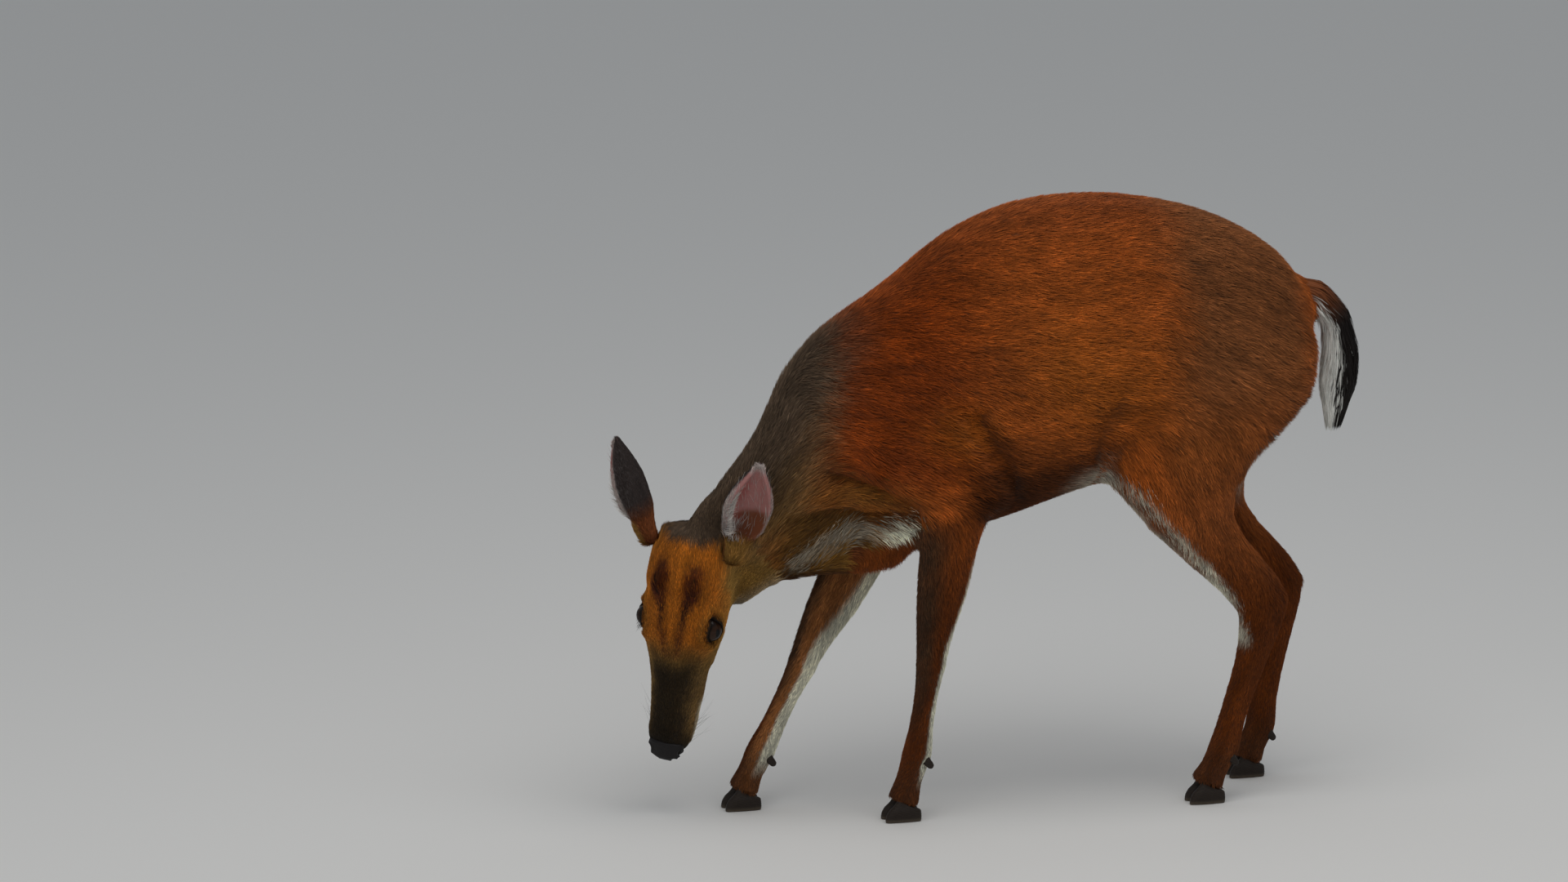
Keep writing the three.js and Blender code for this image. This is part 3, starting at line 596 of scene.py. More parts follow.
def eyeball(name):
    """A ball with a clear front that bulges, its faces sorted so that each run gives the same order."""
    ball = bmesh.new()
    bmesh.ops.create_uvsphere(ball, u_segments=64, v_segments=40, radius=EYE_RADIUS)
    ball.verts.index_update()
    faces = []
    for face in ball.faces:
        corners = [vert.index for vert in face.verts]
        first = corners.index(min(corners))
        faces.append(corners[first:] + corners[:first])
    for vert in ball.verts:
        vert.co.z += FRONT_BULGE * float(ramp(vert.co.z, FRONT_START, EYE_RADIUS))
    mesh = bpy.data.meshes.new(name)
    mesh.from_pydata([vert.co[:] for vert in ball.verts], [], sorted(faces))
    ball.free()
    return add_object(name, mesh)


eye_finish = finish(
    "wet_eye", lumps=700, pebbles=0, relief=0.0, roughness=(0.3, 0.4), mottle=0.25, shine=0.04
)
wet(eye_finish, film=0.45)
for name, side in SIDES.items():
    eye = eyeball("eyeball_" + name)
    eye_spots = spots(eye)
    from_axis = np.hypot(eye_spots[:, 0], eye_spots[:, 1])
    in_pupil = np.hypot(eye_spots[:, 0] / PUPIL[0], eye_spots[:, 1] / PUPIL[1])
    in_front = eye_spots[:, 2] > 0
    colours = np.tile(EYE_RIM, (len(eye_spots), 1))
    colours = mix(colours, EYE_BROWN, ramp(-from_axis, -IRIS, 1.5 - IRIS) * in_front)
    colours = mix(colours, EYE_BLACK, ramp(-in_pupil, -1.08, -0.92) * in_front)
    set_tint(eye.data, colours)
    centre = in_head(middle("eye_" + name)[None])[0]
    axes = eye_axes(side)
    axes[1] *= side
    move_to(eye, from_head(centre + eye_spots @ axes))
    eye.data.materials.append(eye_finish)
    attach(eye, "root")
    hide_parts("eye_" + name)


# The nose
# A bare black pad of wet, pebbled skin with comma-shaped nostrils and a groove down its middle.
NOSE_CELL = 0.8 * MM
# The middle line of her right nostril, how deep it is and how far its wing stands up
NOSTRIL = [(7.6, 219.5, -24), (10.6, 218.5, -24.5), (13.6, 215.5, -22), (15.2, 211, -18)]
NOSTRIL_DEPTH, NOSTRIL_WING = 4.5, 1.0
GROOVE_DEPTH = 1.1
NOSE_BLACK = (0.009, 0.007, 0.007)
# Painted shade: the nostrils are darkened inwards from their rims, deeper than the black of the pad
NOSTRIL_SHADE = np.array((0.004, 0.003, 0.003))
nose = form_of("nose", "nose_pad", NOSE_CELL)
move_to(nose, spread(nose, spots(nose), EVEN, 26))
pad = in_head(spots(nose))
pad_facing = normals(nose) @ head_axes.T
from_nostril = distance_to(mirrored(pad), NOSTRIL)
groove = GROOVE_DEPTH * lump(pad[:, 0], 0, 0.9) * ramp(-pad[:, 2], 18, 22)
hollow = NOSTRIL_DEPTH * lump(from_nostril, 0, 1.9) - NOSTRIL_WING * lump(from_nostril, 4, 1.5)
pad = pad - pad_facing * ((groove + hollow) * ramp(pad[:, 1], 204, 208))[:, None]
move_to(nose, from_head(pad))
colours = np.tile(NOSE_BLACK, (len(pad), 1))
# The nostrils' hollows get painted shade
set_tint(nose.data, mix(colours, NOSTRIL_SHADE, fall(from_nostril, 1.5, 3.5)))
nose_finish = finish(
    "wet_nose", lumps=1100, pebbles=0.8, relief=0.35, roughness=(0.4, 0.65), mottle=0.3, shine=0.16
)
wet(nose_finish, film=0.22)
nose.data.materials.append(nose_finish)
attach(nose, "root")
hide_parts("nose")


# The hooves and dewclaws
# Small pointed cloven hooves of dark horn that grows in fine rings and is worn paler at the sole, and the
# little dewclaws behind each fetlock.
HORN_CELL = 1.1 * MM
# The growth rings: gap, slant, relief and shade
RING_GAP, RING_SLANT, RING_RELIEF, RING_SHADE = 2.3, 0.35, 0.12, 0.22
# The top of a hoof: how far it is drawn in, as a share, and up, in millimetres
TOP_DRAW, TOP_RISE = 0.42, 3
DEWCLAW_SHARE = 0.75
HORN_BLACK = (0.022, 0.015, 0.011)
HORN_WORN = np.array((0.11, 0.085, 0.06))
horn_finish = finish(
    "horn", lumps=420, pebbles=0.15, relief=0.25, roughness=(0.42, 0.68), mottle=0.35, shine=0.22
)
for node in sorted(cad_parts):
    if "hoof" in node or "dewclaw" in node:
        horn = form_of(node, node + "_horn", HORN_CELL)
        horn_spots = spread(horn, spots(horn), EVEN, 6)
        height = horn_spots[:, 2] / MM
        if "dewclaw" in node:
            root = horn_spots[height > np.quantile(height, 0.85)].mean(axis=0)
            horn_spots = root + (horn_spots - root) * DEWCLAW_SHARE
            height = horn_spots[:, 2] / MM
        else:
            # The top of a hoof runs up into the foot, drawn in under the hair of the coronet
            core = horn_spots[:, :2].mean(axis=0)
            drawn_in = TOP_DRAW * ramp(height, 11, 20)
            horn_spots[:, :2] += (core - horn_spots[:, :2]) * drawn_in[:, None]
            horn_spots[:, 2] += TOP_RISE * MM * ramp(height, 13, 20)
        move_to(horn, horn_spots)
        rings = np.sin(2 * math.pi * (height + RING_SLANT * horn_spots[:, 0] / MM) / RING_GAP)
        level_sides = 1 - np.abs(normals(horn)[:, 2])
        relief = RING_RELIEF * rings * level_sides * ramp(height, 1.5, 4)
        move_to(horn, horn_spots + normals(horn) * relief[:, None] * MM)
        colours = np.tile(HORN_BLACK, (len(height), 1)) * (1 + RING_SHADE * rings)[:, None]
        set_tint(horn.data, mix(colours, HORN_WORN, 0.7 * fall(height, 0.5, 5)))
        horn.data.materials.append(horn_finish)
        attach(horn, "root")
        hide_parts(node)


# The tail
# Long flat locks round the dock, rufous over the root, black outside and white below, to a soft point.
# The outer and inner line of the hair are given as x and z in millimetres, with the half width between.
TAIL_LINES = [
    ((293, 500), (281, 470), 19),
    ((326, 486), (305, 460), 19),
    ((350, 457), (323, 440), 19),
    ((361, 419), (323, 410), 19),
    ((361, 383), (319, 378), 18),
    ((349, 341), (322, 338), 11),
]
TAIL_LOCKS = 5200
TAIL_RINGS = 4
# Half widths of a lock along it in millimetres, and its thickness as a share of them
LOCK_HALF, LOCK_THICKNESS = (0.5, 0.9, 0.85, 0.55), 0.5
TAIL_BLACK = np.array((0.010, 0.007, 0.006))
TAIL_RUFOUS = np.array((0.20, 0.060, 0.018))
TAIL_WHITE = np.array((0.84, 0.84, 0.79))
# Half the width of a tuft's patch on the unwrap
PATCH = 0.0015


def along_tail(share):
    """The outer line, the inner line and the half width of the tail's hair at shares of its length."""
    knots = np.linspace(0, 1, len(TAIL_LINES))
    rows = np.array([outer + inner + (half,) for outer, inner, half in TAIL_LINES], float)
    return np.stack([np.interp(share, knots, column) for column in rows.T], -1)


def tail_spot(share, turn, drawn):
    """Spots of the hair at shares of the tail's length, turns round it and shares out of its middle."""
    rows = along_tail(share)
    outer, inner = rows[..., 0:2], rows[..., 2:4]
    middle_line = (outer + inner) / 2
    reach = (outer - inner) / 2 * (np.cos(turn) * drawn)[..., None]
    flat = middle_line + reach
    width = rows[..., 4] * np.sin(turn) * drawn
    return np.stack([flat[..., 0], width, flat[..., 1]], -1) * MM


def hair_mesh(name, paths, across, out, half, thick, colours, root_uv):
    """One mesh of tapered hairs. A hair has three-sided rings along its path and ends in a single tip."""
    count, rings = paths.shape[0], paths.shape[1] - 1
    each = 3 * rings + 1
    corners = np.empty((count, each, 3))
    for ring in range(rings):
        at = paths[:, ring]
        corners[:, 3 * ring] = at - across * half[:, ring, None]
        corners[:, 3 * ring + 1] = at + across * half[:, ring, None]
        corners[:, 3 * ring + 2] = at + out * thick[:, ring, None]
    corners[:, -1] = paths[:, -1]
    faces = [(0, 2, 1)]
    for ring in range(rings - 1):
        low, high = 3 * ring, 3 * ring + 3
        for one, other in ((0, 1), (1, 2), (2, 0)):
            faces += [(low + one, low + other, high + other), (low + one, high + other, high + one)]
    last = 3 * (rings - 1)
    faces += [(last, last + 1, each - 1), (last + 1, last + 2, each - 1), (last + 2, last, each - 1)]
    faces = (np.array(faces)[None] + each * np.arange(count)[:, None, None]).reshape(-1, 3)
    mesh = bpy.data.meshes.new(name)
    mesh.vertices.add(count * each)
    mesh.vertices.foreach_set("co", corners.astype(np.float32).ravel())
    mesh.loops.add(faces.size)
    mesh.loops.foreach_set("vertex_index", faces.astype(np.int32).ravel())
    mesh.polygons.add(len(faces))
    mesh.polygons.foreach_set("loop_start", np.arange(0, faces.size, 3, dtype=np.int32))
    mesh.update(calc_edges=True)
    shade = np.empty((count, each, 3))
    for ring in range(rings):
        shade[:, 3 * ring : 3 * ring + 3] = colours[:, ring, None]
    shade[:, -1] = colours[:, -1]
    set_tint(mesh, shade.reshape(-1, 3))
    patch = np.empty((count, each, 2))
    for ring in range(rings):
        rise = -PATCH + 2 * PATCH * ring / rings
        for corner, aside in enumerate((-PATCH, PATCH, 0.0)):
            patch[:, 3 * ring + corner] = root_uv + (aside, rise)
    patch[:, -1] = root_uv + (0.0, PATCH)
    bake = mesh.uv_layers.new(name="OFBake")
    bake.data.foreach_set("uv", patch.reshape(-1, 2)[faces.ravel()].astype(np.float32).ravel())
    mesh.shade_flat()
    return add_object(name, mesh)


chance = np.random.default_rng(11)
start = chance.uniform(0.02, 0.80, TAIL_LOCKS)
turn = chance.uniform(0, 2 * math.pi, TAIL_LOCKS)
reach = chance.uniform(0.22, 0.40, TAIL_LOCKS)
end = np.minimum(start + reach, chance.uniform(0.93, 1.0, TAIL_LOCKS))
fullness = 0.72 + 0.28 * chance.random(TAIL_LOCKS)
steps = np.linspace(0, 1, TAIL_RINGS + 1)
share = start[:, None] + (end - start)[:, None] * steps
dock_share = 0.28 + 0.1 * start
drawn = dock_share[:, None] + (fullness - dock_share)[:, None] * np.sqrt(steps)
drawn *= 1 - 0.5 * ramp(share, 0.72, 1.0) * steps
wave = turn[:, None] + 0.25 * chance.normal(size=TAIL_LOCKS)[:, None] * steps
paths = tail_spot(share, wave, drawn)
out = unit(tail_spot(start, turn, np.ones(TAIL_LOCKS)) - tail_spot(start, turn, np.zeros(TAIL_LOCKS)))
run = unit(paths[:, -1] - paths[:, 0])
across = unit(np.cross(out, run))
half = np.array(LOCK_HALF)[None] * chance.uniform(0.8, 1.5, TAIL_LOCKS)[:, None] * MM
thick = half * LOCK_THICKNESS
outer_side = np.cos(turn)[:, None]
dark = ramp(share, 0.16, 0.42)[..., None]
colours = TAIL_RUFOUS * (1 - dark) + TAIL_BLACK * dark
pale = ramp(-outer_side + 0.08 * chance.normal(size=(TAIL_LOCKS, 1)), 0.1, 0.4) * ramp(share, 0.14, 0.3)
pale = pale[..., None]
colours = colours * (1 - pale) + TAIL_WHITE * pale
colours = colours * chance.uniform(0.75, 1.2, (TAIL_LOCKS, 1, 1))
root_uv = np.stack([0.05 + 0.9 * start, 0.05 + 0.9 * turn / (2 * math.pi)], -1)
tail_hair = hair_mesh("tail_hair", paths, across, out, half, thick, colours, root_uv)
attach(tail_hair, "root")
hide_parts("tail")
hair = finish("hair", lumps=700, pebbles=0, relief=0.03, roughness=(0.5, 0.72), mottle=0.14, shine=0.16)
tail_hair.data.materials.append(hair)


# The markings
# The doe's colours on hide and hair alike: rufous trunk, taupe rump, slate nape, white breast, dark muzzle.
# They are worked out from where a spot is on the body and which way it faces. Painted shade is laid in the
# creases, under the trunk, on the breast's lower edge, low on the ears' roots and on her far hind leg, and
# painted highlights on the mid-flank and over the elbow.
PAINT = {
    "rufous": (0.33, 0.082, 0.012),
    "deep rufous": (0.20, 0.034, 0.002),
    "dark back": (0.25, 0.062, 0.013),
    "gold": (0.385, 0.110, 0.009),
    "taupe": (0.215, 0.078, 0.025),
    # Painted shade: a near-black brown laid where shade falls, in creases and under the trunk
    "painted shade": (0.038, 0.010, 0.001),
    "slate": (0.098, 0.066, 0.043),
    "ticked brown": (0.24, 0.135, 0.050),
    "ochre": (0.27, 0.130, 0.022),
    "breast": (0.105, 0.050, 0.010),
    "white": (0.66, 0.67, 0.56),
    "grey white": (0.42, 0.40, 0.33),
    "leg": (0.118, 0.028, 0.003),
    "leg front": (0.050, 0.029, 0.015),
    "inner leg": (0.32, 0.130, 0.042),
    "foot": (0.085, 0.029, 0.009),
    "crown": (0.45, 0.145, 0.013),
    "cheek": (0.31, 0.175, 0.040),
    "brow mark": (0.085, 0.014, 0.005),
    "black brown": (0.013, 0.009, 0.005),
    "muzzle side": (0.17, 0.100, 0.038),
    "cream": (0.52, 0.47, 0.35),
    "ear back": (0.044, 0.034, 0.032),
    "ear root": (0.19, 0.058, 0.018),
    "ear pink": (0.38, 0.165, 0.150),
    "ear red": (0.30, 0.050, 0.045),
    "ear brown": (0.17, 0.048, 0.018),
    "ear mauve": (0.10, 0.058, 0.060),
    "ear rim": (0.46, 0.43, 0.41),
}
PAINT = {name: np.array(colour) for name, colour in PAINT.items()}
# The nape as x and z in millimetres, from the poll to the withers
NAPE = [(-304, 280), (-276, 312), (-250, 339), (-226, 372), (-202, 424), (-169, 464), (-125, 493)]
# The middles of the grey and the ochre band of the breast, as x and z in millimetres
GREY_BAND = [(-104, 284), (-141, 276), (-164, 262), (-192, 241)]
OCHRE_BAND = [(-92, 257), (-140, 254), (-170, 246)]
# The pale line down the front of her left hind leg, from the flank to the hock, as x and z in millimetres
SHIN_LINE = [(103, 320), (127, 304), (160, 266), (193, 232), (216, 192), (230, 158)]


def cloud(rows, size, seed=0.0):
    """Soft even noise from 0 to 1 in lumps of about size millimetres."""
    cells = rows / (size * MM) + seed * 7.31
    base = np.floor(cells)
    share = cells - base
    share = share * share * (3 - 2 * share)
    total = np.zeros(len(rows))
    for corner in np.ndindex(2, 2, 2):
        at = base + corner
        value = np.sin(at @ (127.1, 311.7, 74.7) + seed) * 43758.5453
        weight = np.prod(np.where(corner, share, 1 - share), axis=1)
        total += weight * (value - np.floor(value))
    return total


def all_in(paint, rows):
    """One paint for every spot."""
    return np.tile(PAINT[paint], (len(rows), 1))


def lay(colour, paint, mask):
    """Lays one paint over a colour where the mask is 1."""
    return mix(colour, PAINT[paint], mask)


def trunk_colour(rows, facing):
    """Colour of trunk and neck, with painted shade in the creases, under the trunk and on the breast's
    lower edge, and painted highlights on the mid-flank and over the elbow.
    """
    x, y, z = rows.T / MM
    up = facing[:, 2]
    patch = cloud(rows, 45, 1)
    streak = cloud(rows, 16, 2)
    colour = all_in("rufous", rows)
    colour = lay(colour, "deep rufous", fall(x, -90, 20) * ramp(z, 300, 350) * 0.85)
    # The mid-flank gold is partly the coat's own gold and partly a painted highlight where the top light
    # falls; the lump on the raised triceps edge above the elbow is a painted highlight
    colour = lay(colour, "gold", lump(x, 85, 78) * lump(z, 420, 60) * (0.3 + 0.7 * patch))
    colour = lay(colour, "gold", lump(x, -52, 34) * lump(z, 376, 24) * 0.65)
    colour = lay(colour, "gold", lump(x, 190, 60) * lump(z, 352, 40) * 0.4 * patch)
    colour = lay(colour, "dark back", ramp(up, 0.4, 0.95) * ramp(z, 430, 520) * 0.8)
    rump = ramp(x + 34 * (patch - 0.5) + 16 * (streak - 0.5), 118, 186) * fall(x, 268, 312)
    colour = lay(colour, "taupe", rump * (0.45 + 0.5 * ramp(z + 30 * patch, 360, 450)))
    from_side = np.stack([x, z], 1)
    # Painted shade darkens the lower flank from the elbow to the thigh, and the parts that face down
    shaded_low_flank = fall(z + 14 * (streak - 0.5), 318, 372) * ramp(x, -64, -30) * fall(x, 78, 116)
    shaded_underside = ramp(-up, 0.1, 0.65) * ramp(x, -70, -20)
    colour = lay(colour, "painted shade", np.maximum(shaded_low_flank * 0.92, shaded_underside * 0.6))
    # Painted shade darkens the hide along the creases before the shoulder, over the throat, behind the
    # elbow and before the thigh
    for fold, width, strength in ((0, 12, 0.7), (1, 7, 0.85), (3, 15, 0.6), (5, 12, 0.4)):
        crease_shade = fall(distance_to(from_side, FOLDS[fold][0]), 2, width)
        colour = lay(colour, "painted shade", crease_shade * strength)
    groin = ramp(-up, 0.35, 0.8) * ramp(x, 40, 105) * fall(np.abs(y), 55, 78)
    colour = lay(colour, "grey white", groin * 0.85)
    from_nape = distance_to(from_side, NAPE)
    before_trunk = fall(x + 20 * (streak - 0.5), -180, -118)
    colour = lay(colour, "ticked brown", fall(from_nape, 58, 112) * fall(x, -205, -150))
    lower = fall(x, -190, -140) * ramp(from_nape, 60, 105)
    colour = lay(colour, "ochre", lower * (0.35 + 0.5 * streak))
    colour = lay(colour, "ochre", lump(x, -142, 34) * lump(z, 311, 13) * 0.6)
    colour = lay(colour, "slate", fall(from_nape + 20 * patch, 32, 78) * before_trunk)
    # The breast: ochre with painted shade along its lower edge where it faces down, a grey ticked band over
    # it and a white patch at its end
    breast = fall(z, 286, 297) * ramp(x, -222, -196) * fall(x, -78, -62)
    band = fall(distance_to(from_side, GREY_BAND) + 5 * (streak - 0.5), 4, 11)
    patch_white = fall(np.hypot((x + 102) / 22, (z - 279) / 16) + 0.3 * (streak - 0.5), 0.5, 1.0)
    colour = lay(colour, "breast", breast * 0.95)
    colour = lay(colour, "ochre", breast * fall(distance_to(from_side, OCHRE_BAND), 4, 13) * 0.8)
    # Painted shade on the breast's downward-facing lower edge
    colour = lay(colour, "painted shade", breast * ramp(-up, 0.6, 0.9) * 0.8)
    colour = lay(colour, "grey white", breast * band * (0.35 + 0.4 * streak))
    return lay(colour, "white", breast * patch_white)


def leg_colour(rows, facing):
    """Colour of the legs, dark in front of the forelegs and pale on their inner and rear sides."""
    x, y, z = rows.T / MM
    hind = x > 90
    streak = cloud(rows, 9, 2)
    inner = -np.sign(y) * facing[:, 1]
    front = -facing[:, 0]
    colour = all_in("leg", rows)
    high = ramp(z, 190, 290)[:, None]
    fore_upper = lay(colour, "rufous", np.full(len(rows), 0.45))
    upper = np.where(hind[:, None], trunk_colour(rows, facing), fore_upper)
    colour = colour * (1 - high) + upper * high
    colour = lay(colour, "inner leg", ramp(inner, 0.1, 0.7) * ~hind * 0.85)
    dark_front = ramp(front - 0.25 * inner, 0.1, 0.75) * ~hind * fall(z, 275, 318) * ramp(z, 60, 150)
    colour = lay(colour, "leg front", dark_front * (0.95 - 0.35 * streak))
    colour = lay(colour, "foot", fall(z, 30, 75) * 0.8)
    from_behind = np.maximum(0.55 * inner, 0) - front + 0.28 * fall(z, 150, 210) + 0.12 * (streak - 0.5)
    fore_pale = ramp(from_behind, 0.6, 0.85) * ~hind * ramp(z, 30, 55) * fall(z, 222, 268)
    before = front + 0.35 * inner + 0.2 * (streak - 0.5)
    from_line = distance_to(np.stack([x, z], 1), SHIN_LINE) + 4 * (streak - 0.5)
    at_hock = fall(z, 205, 240)
    shin_line = fall(from_line, 1.5 + 4 * at_hock, 6 + 5 * at_hock) * (y < 0)
    shin_line = shin_line * ramp(inner + 1.6 * front, -0.9, -0.4)
    # On her right hind leg, the far one, the pale front line is laid at only 0.4 strength: painted shade,
    # as that leg stands in shade
    shin_line = np.maximum(shin_line, ramp(before, 0.6, 0.9) * (y > 0) * 0.4) * ramp(z, 142, 166)
    hind_inner = ramp(inner, 0.35, 0.85) * ramp(z, 262, 310) * 0.8
    hind_pale = np.maximum(shin_line, hind_inner) * hind * fall(z, 335, 365)
    colour = lay(colour, "white", fore_pale * 0.9)
    colour = lay(colour, "grey white", hind_pale * (0.7 + 0.3 * streak))
    return lay(colour, "white", shin_line * hind * fall(from_line, 1, 6) * lump(z, 175, 70) * 0.6)


def face_colour(rows):
    """Colour of the head from the dark nape band and bright crown to the black-brown muzzle."""
    half = mirrored(in_head(rows))
    _, ahead, out = half.T
    above = above_mouth(half)
    streak = cloud(rows, 12, 7)
    # Fine streaks along the hair of the brow
    fine = cloud(half * (1, 0.22, 1) * MM, 3.5, 9)
    colour = all_in("cheek", rows)
    colour = lay(colour, "ticked brown", fall(ahead, 8, 40) * ramp(-out, 20, 40) * 0.8)
    colour = lay(colour, "crown", ramp(out + 8 * (streak - 0.5), -36, -14) * fall(ahead, 92, 132))
    colour = lay(colour, "crown", fall(distance_to(half, [(40, 60, -30), (41, 84, -40)]), 6, 14) * 0.5)
    colour = lay(colour, "slate", fall(ahead + 8 * (fine - 0.5), 0, 11))
    colour = lay(colour, "muzzle side", ramp(ahead, 98, 142) * 0.85)
    ridge = ramp(out + 0.06 * (ahead - 100) + 5 * (streak - 0.5), -24, -7)
    colour = lay(colour, "black brown", ramp(ahead + 14 * (streak - 0.5), 92, 140) * ridge * 0.92)
    colour = lay(colour, "black brown", ramp(ahead, 180, 206) * ramp(above, 2, 9) * 0.85)
    colour = lay(colour, "grey white", ramp(-out, 62, 84) * fall(ahead, 96, 136) * 0.6)
    chin = fall(above, -5, 0) * ramp(ahead, 150, 178)
    colour = lay(colour, "cream", chin * 0.85)
    upper_lip = lump(above, 3, 2.6) * ramp(ahead, 158, 176) * fall(ahead, 196, 206)
    colour = lay(colour, "cream", upper_lip * 0.75)
    colour = lay(colour, "black brown", lump(above, 0, 1.3) * ramp(ahead, 152, 158) * 0.8)
    # The dark tuft of each knob, drawn out into the line that runs down between the eyes
    knob = distance_to(half * (1, 0.55, 1), [(19, 17, 2), (17, 28, 4)]) + 8 * (fine - 0.5)
    colour = lay(colour, "brow mark", fall(knob, 5, 14) * 0.9)
    colour = lay(colour, "black brown", fall(knob, 1, 7) * 0.9)
    line = distance_to(half, [(17, 50, 4), (12.5, 72, 6), (9.5, 96, 3), (7.5, 114, 0)])
    line = line + 5 * (fine - 0.5)
    colour = lay(colour, "brow mark", fall(line, 2, 8) * 0.75)
    colour = lay(colour, "black brown", fall(line, 0.5, 4.5) * 0.8)
    gland = distance_to(half, GLAND)
    colour = lay(colour, "black brown", fall(gland, 2.0, 5) * 0.95)
    ring = lid_ring((half - EYE_FROM_POLL) @ eye_axes(1).T)
    colour = lay(colour, "ochre", lump(ring, 1.75, 0.28) * 0.55)
    colour = lay(colour, "black brown", fall(ring, 1.18, 1.5))
    return colour


def belongs(part, names):
    """Which of these spots belong to parts of these names."""
    return np.isin(part, [PARTS.index(name) for name in names])


def coat_colour(rows, facing, part):
    """Colour of hide and hair at spots of the skin that face a way and belong to a part."""
    colour = trunk_colour(rows, facing)
    leg = belongs(part, ("forearm", "thigh", "gaskin", "cannon", "foot"))
    on_head = belongs(part, ("head", "lower_jaw", "nose", "eye"))
    colour[leg] = leg_colour(rows[leg], facing[leg])
    colour[on_head] = face_colour(rows[on_head])
    return colour


def ear_colour(rows, facing, name):
    """Colour of an ear: slate behind, rufous at its root, pink to mauve in the cup, with a pale rim, and
    painted shadow low on the front of its root.
    """
    front, height, hollow, rim, outwards = ear_zones(rows, facing, name)
    colour = all_in("ear back", rows)
    colour = lay(colour, "ear root", fall(height, 8, 34) * 0.95)
    colour = lay(colour, "cheek", fall(height, 8, 20) * ramp(outwards, -0.2, 0.4) * 0.8)
    # Painted shadow: a dark band on the outer face low at the front of the root, in the gap where shade
    # falls
    notch = lump(height, 13, 4) * ramp(outwards, 0.2, 0.6) * ramp(front, -0.2, 0.5)
    colour = lay(colour, "black brown", notch * 0.6)
    inside = all_in("ear pink", rows)
    inside = lay(inside, "ear red", lump(height, 62, 14) * lump(front, 0.35, 0.3) * 0.75)
    inside = lay(inside, "ear brown", fall(height + 10 * front, 35, 43))
    inside = lay(inside, "ear red", lump(height, 30, 6) * lump(front, 0.2, 0.3) * 0.5)
    inside = lay(inside, "ear mauve", fall(height, 22, 34) * ramp(front, 0.0, 0.5))
    return lay(mix(colour, inside, hollow), "ear rim", rim * 0.8)


# The hide is darker than the hair that grows on it
HIDE_SHADE = 0.55
skin_node = nodes_at(spots(skin))
skin_part = part_of_node[skin_node]
skin_colour = spread(skin, coat_colour(spots(skin), normals(skin), skin_part), EVEN, 4)
set_tint(skin.data, skin_colour * HIDE_SHADE)
hide_finish = finish(
    "hide", lumps=900, pebbles=0, relief=0.3, roughness=(0.6, 0.85), mottle=0.3, shine=0.2
)
skin.data.materials.append(hide_finish)
ear_finish = finish(
    "ear_skin", lumps=500, pebbles=0.2, relief=0.12, roughness=(0.45, 0.7), mottle=0.2, shine=0.35
)
for name, ear in ears.items():
    set_tint(ear.data, spread(ear, ear_colour(spots(ear), normals(ear), name), EVEN, 3))
    ear.data.materials.append(ear_finish)


# The coat
# Short stiff hair in small flat tufts that overlap like shingles, from nose to tail and down the legs.
# Each tuft is a thin closed wedge: sunk at its root, ridged along its back and drawn out to a fine tip.
# The table gives for each part: length, width and rise of a tuft in millimetres, and tufts to a square cm
TUFTS = {
    "chest": (12, 1.25, 3.0, 42),
    "belly": (12, 1.25, 3.0, 42),
    "rump": (12, 1.25, 3.0, 42),
    "neck": (11, 1.15, 2.9, 46),
    "head": (4.2, 0.75, 1.2, 120),
    "lower_jaw": (3.2, 0.6, 0.9, 150),
    "nose": (2.2, 0.5, 0.6, 150),
    "eye": (2.2, 0.5, 0.5, 150),
    "forearm": (8.5, 1.0, 2.2, 62),
    "thigh": (11, 1.2, 2.8, 44),
    "gaskin": (8, 1.0, 2.0, 66),
    "cannon": (5, 0.75, 1.2, 110),
    "foot": (4, 0.65, 1.0, 130),
    "dock": (6, 0.8, 1.5, 60),
}
# The way the hair lies on the trunk, and for each length of a leg the length that its hair points to
TRUNK_LIE = {
    "chest": (0.95, 0, -0.26),
    "belly": (1, 0, -0.12),
    "rump": (0.86, 0, -0.44),
    "dock": (0.6, 0, -0.8),
}
LEG_CHAIN = {
    "forearm": "cannon",
    "thigh": "gaskin",
    "gaskin": "cannon",
    "cannon": "foot",
    "foot": "hoof_inner",
}
# Tufts vary in length, width and rise between these shares
SMALLEST, LARGEST = (0.7, 0.7, 0.55), (1.2, 1.3, 1.1)
# A tuft's shade at its root and tip, and the share of tufts with a bright tip
ROOT_TINT = 0.6
TIP_TINT = np.array((1.5, 1.46, 1.4))
GLINTS, GLINT = 0.12, 1.8
LIE_ROUNDS, SIZE_ROUNDS = 90, 12


def ground_of(piece, part):
    """A surface for hair: its spots, which way they face, and its triangles on their own unwrap."""
    bpy.context.view_layer.objects.active = piece
    piece.select_set(True)
    bpy.ops.object.mode_set(mode="EDIT")
    bpy.ops.mesh.select_all(action="SELECT")
    bpy.ops.uv.smart_project(angle_limit=math.radians(66), island_margin=0.002)
    bpy.ops.object.mode_set(mode="OBJECT")
    piece.select_set(False)
    mesh = piece.data
    mesh.uv_layers.active.name = "OFBake"
    mesh.calc_loop_triangles()
    triangles = rows_of(mesh.loop_triangles, "vertices", 3, np.int32)
    loops = rows_of(mesh.loop_triangles, "loops", 3, np.int32)
    at = spots(piece)
    a, b, c = at[triangles].transpose(1, 0, 2)
    return SimpleNamespace(
        spots=at,
        facing=normals(piece),
        part=part,
        triangles=triangles,
        uv=rows_of(mesh.uv_layers["OFBake"].data, "uv", 2)[loops],
        areas=np.linalg.norm(np.cross(b - a, c - a), axis=1) / 2,
    )


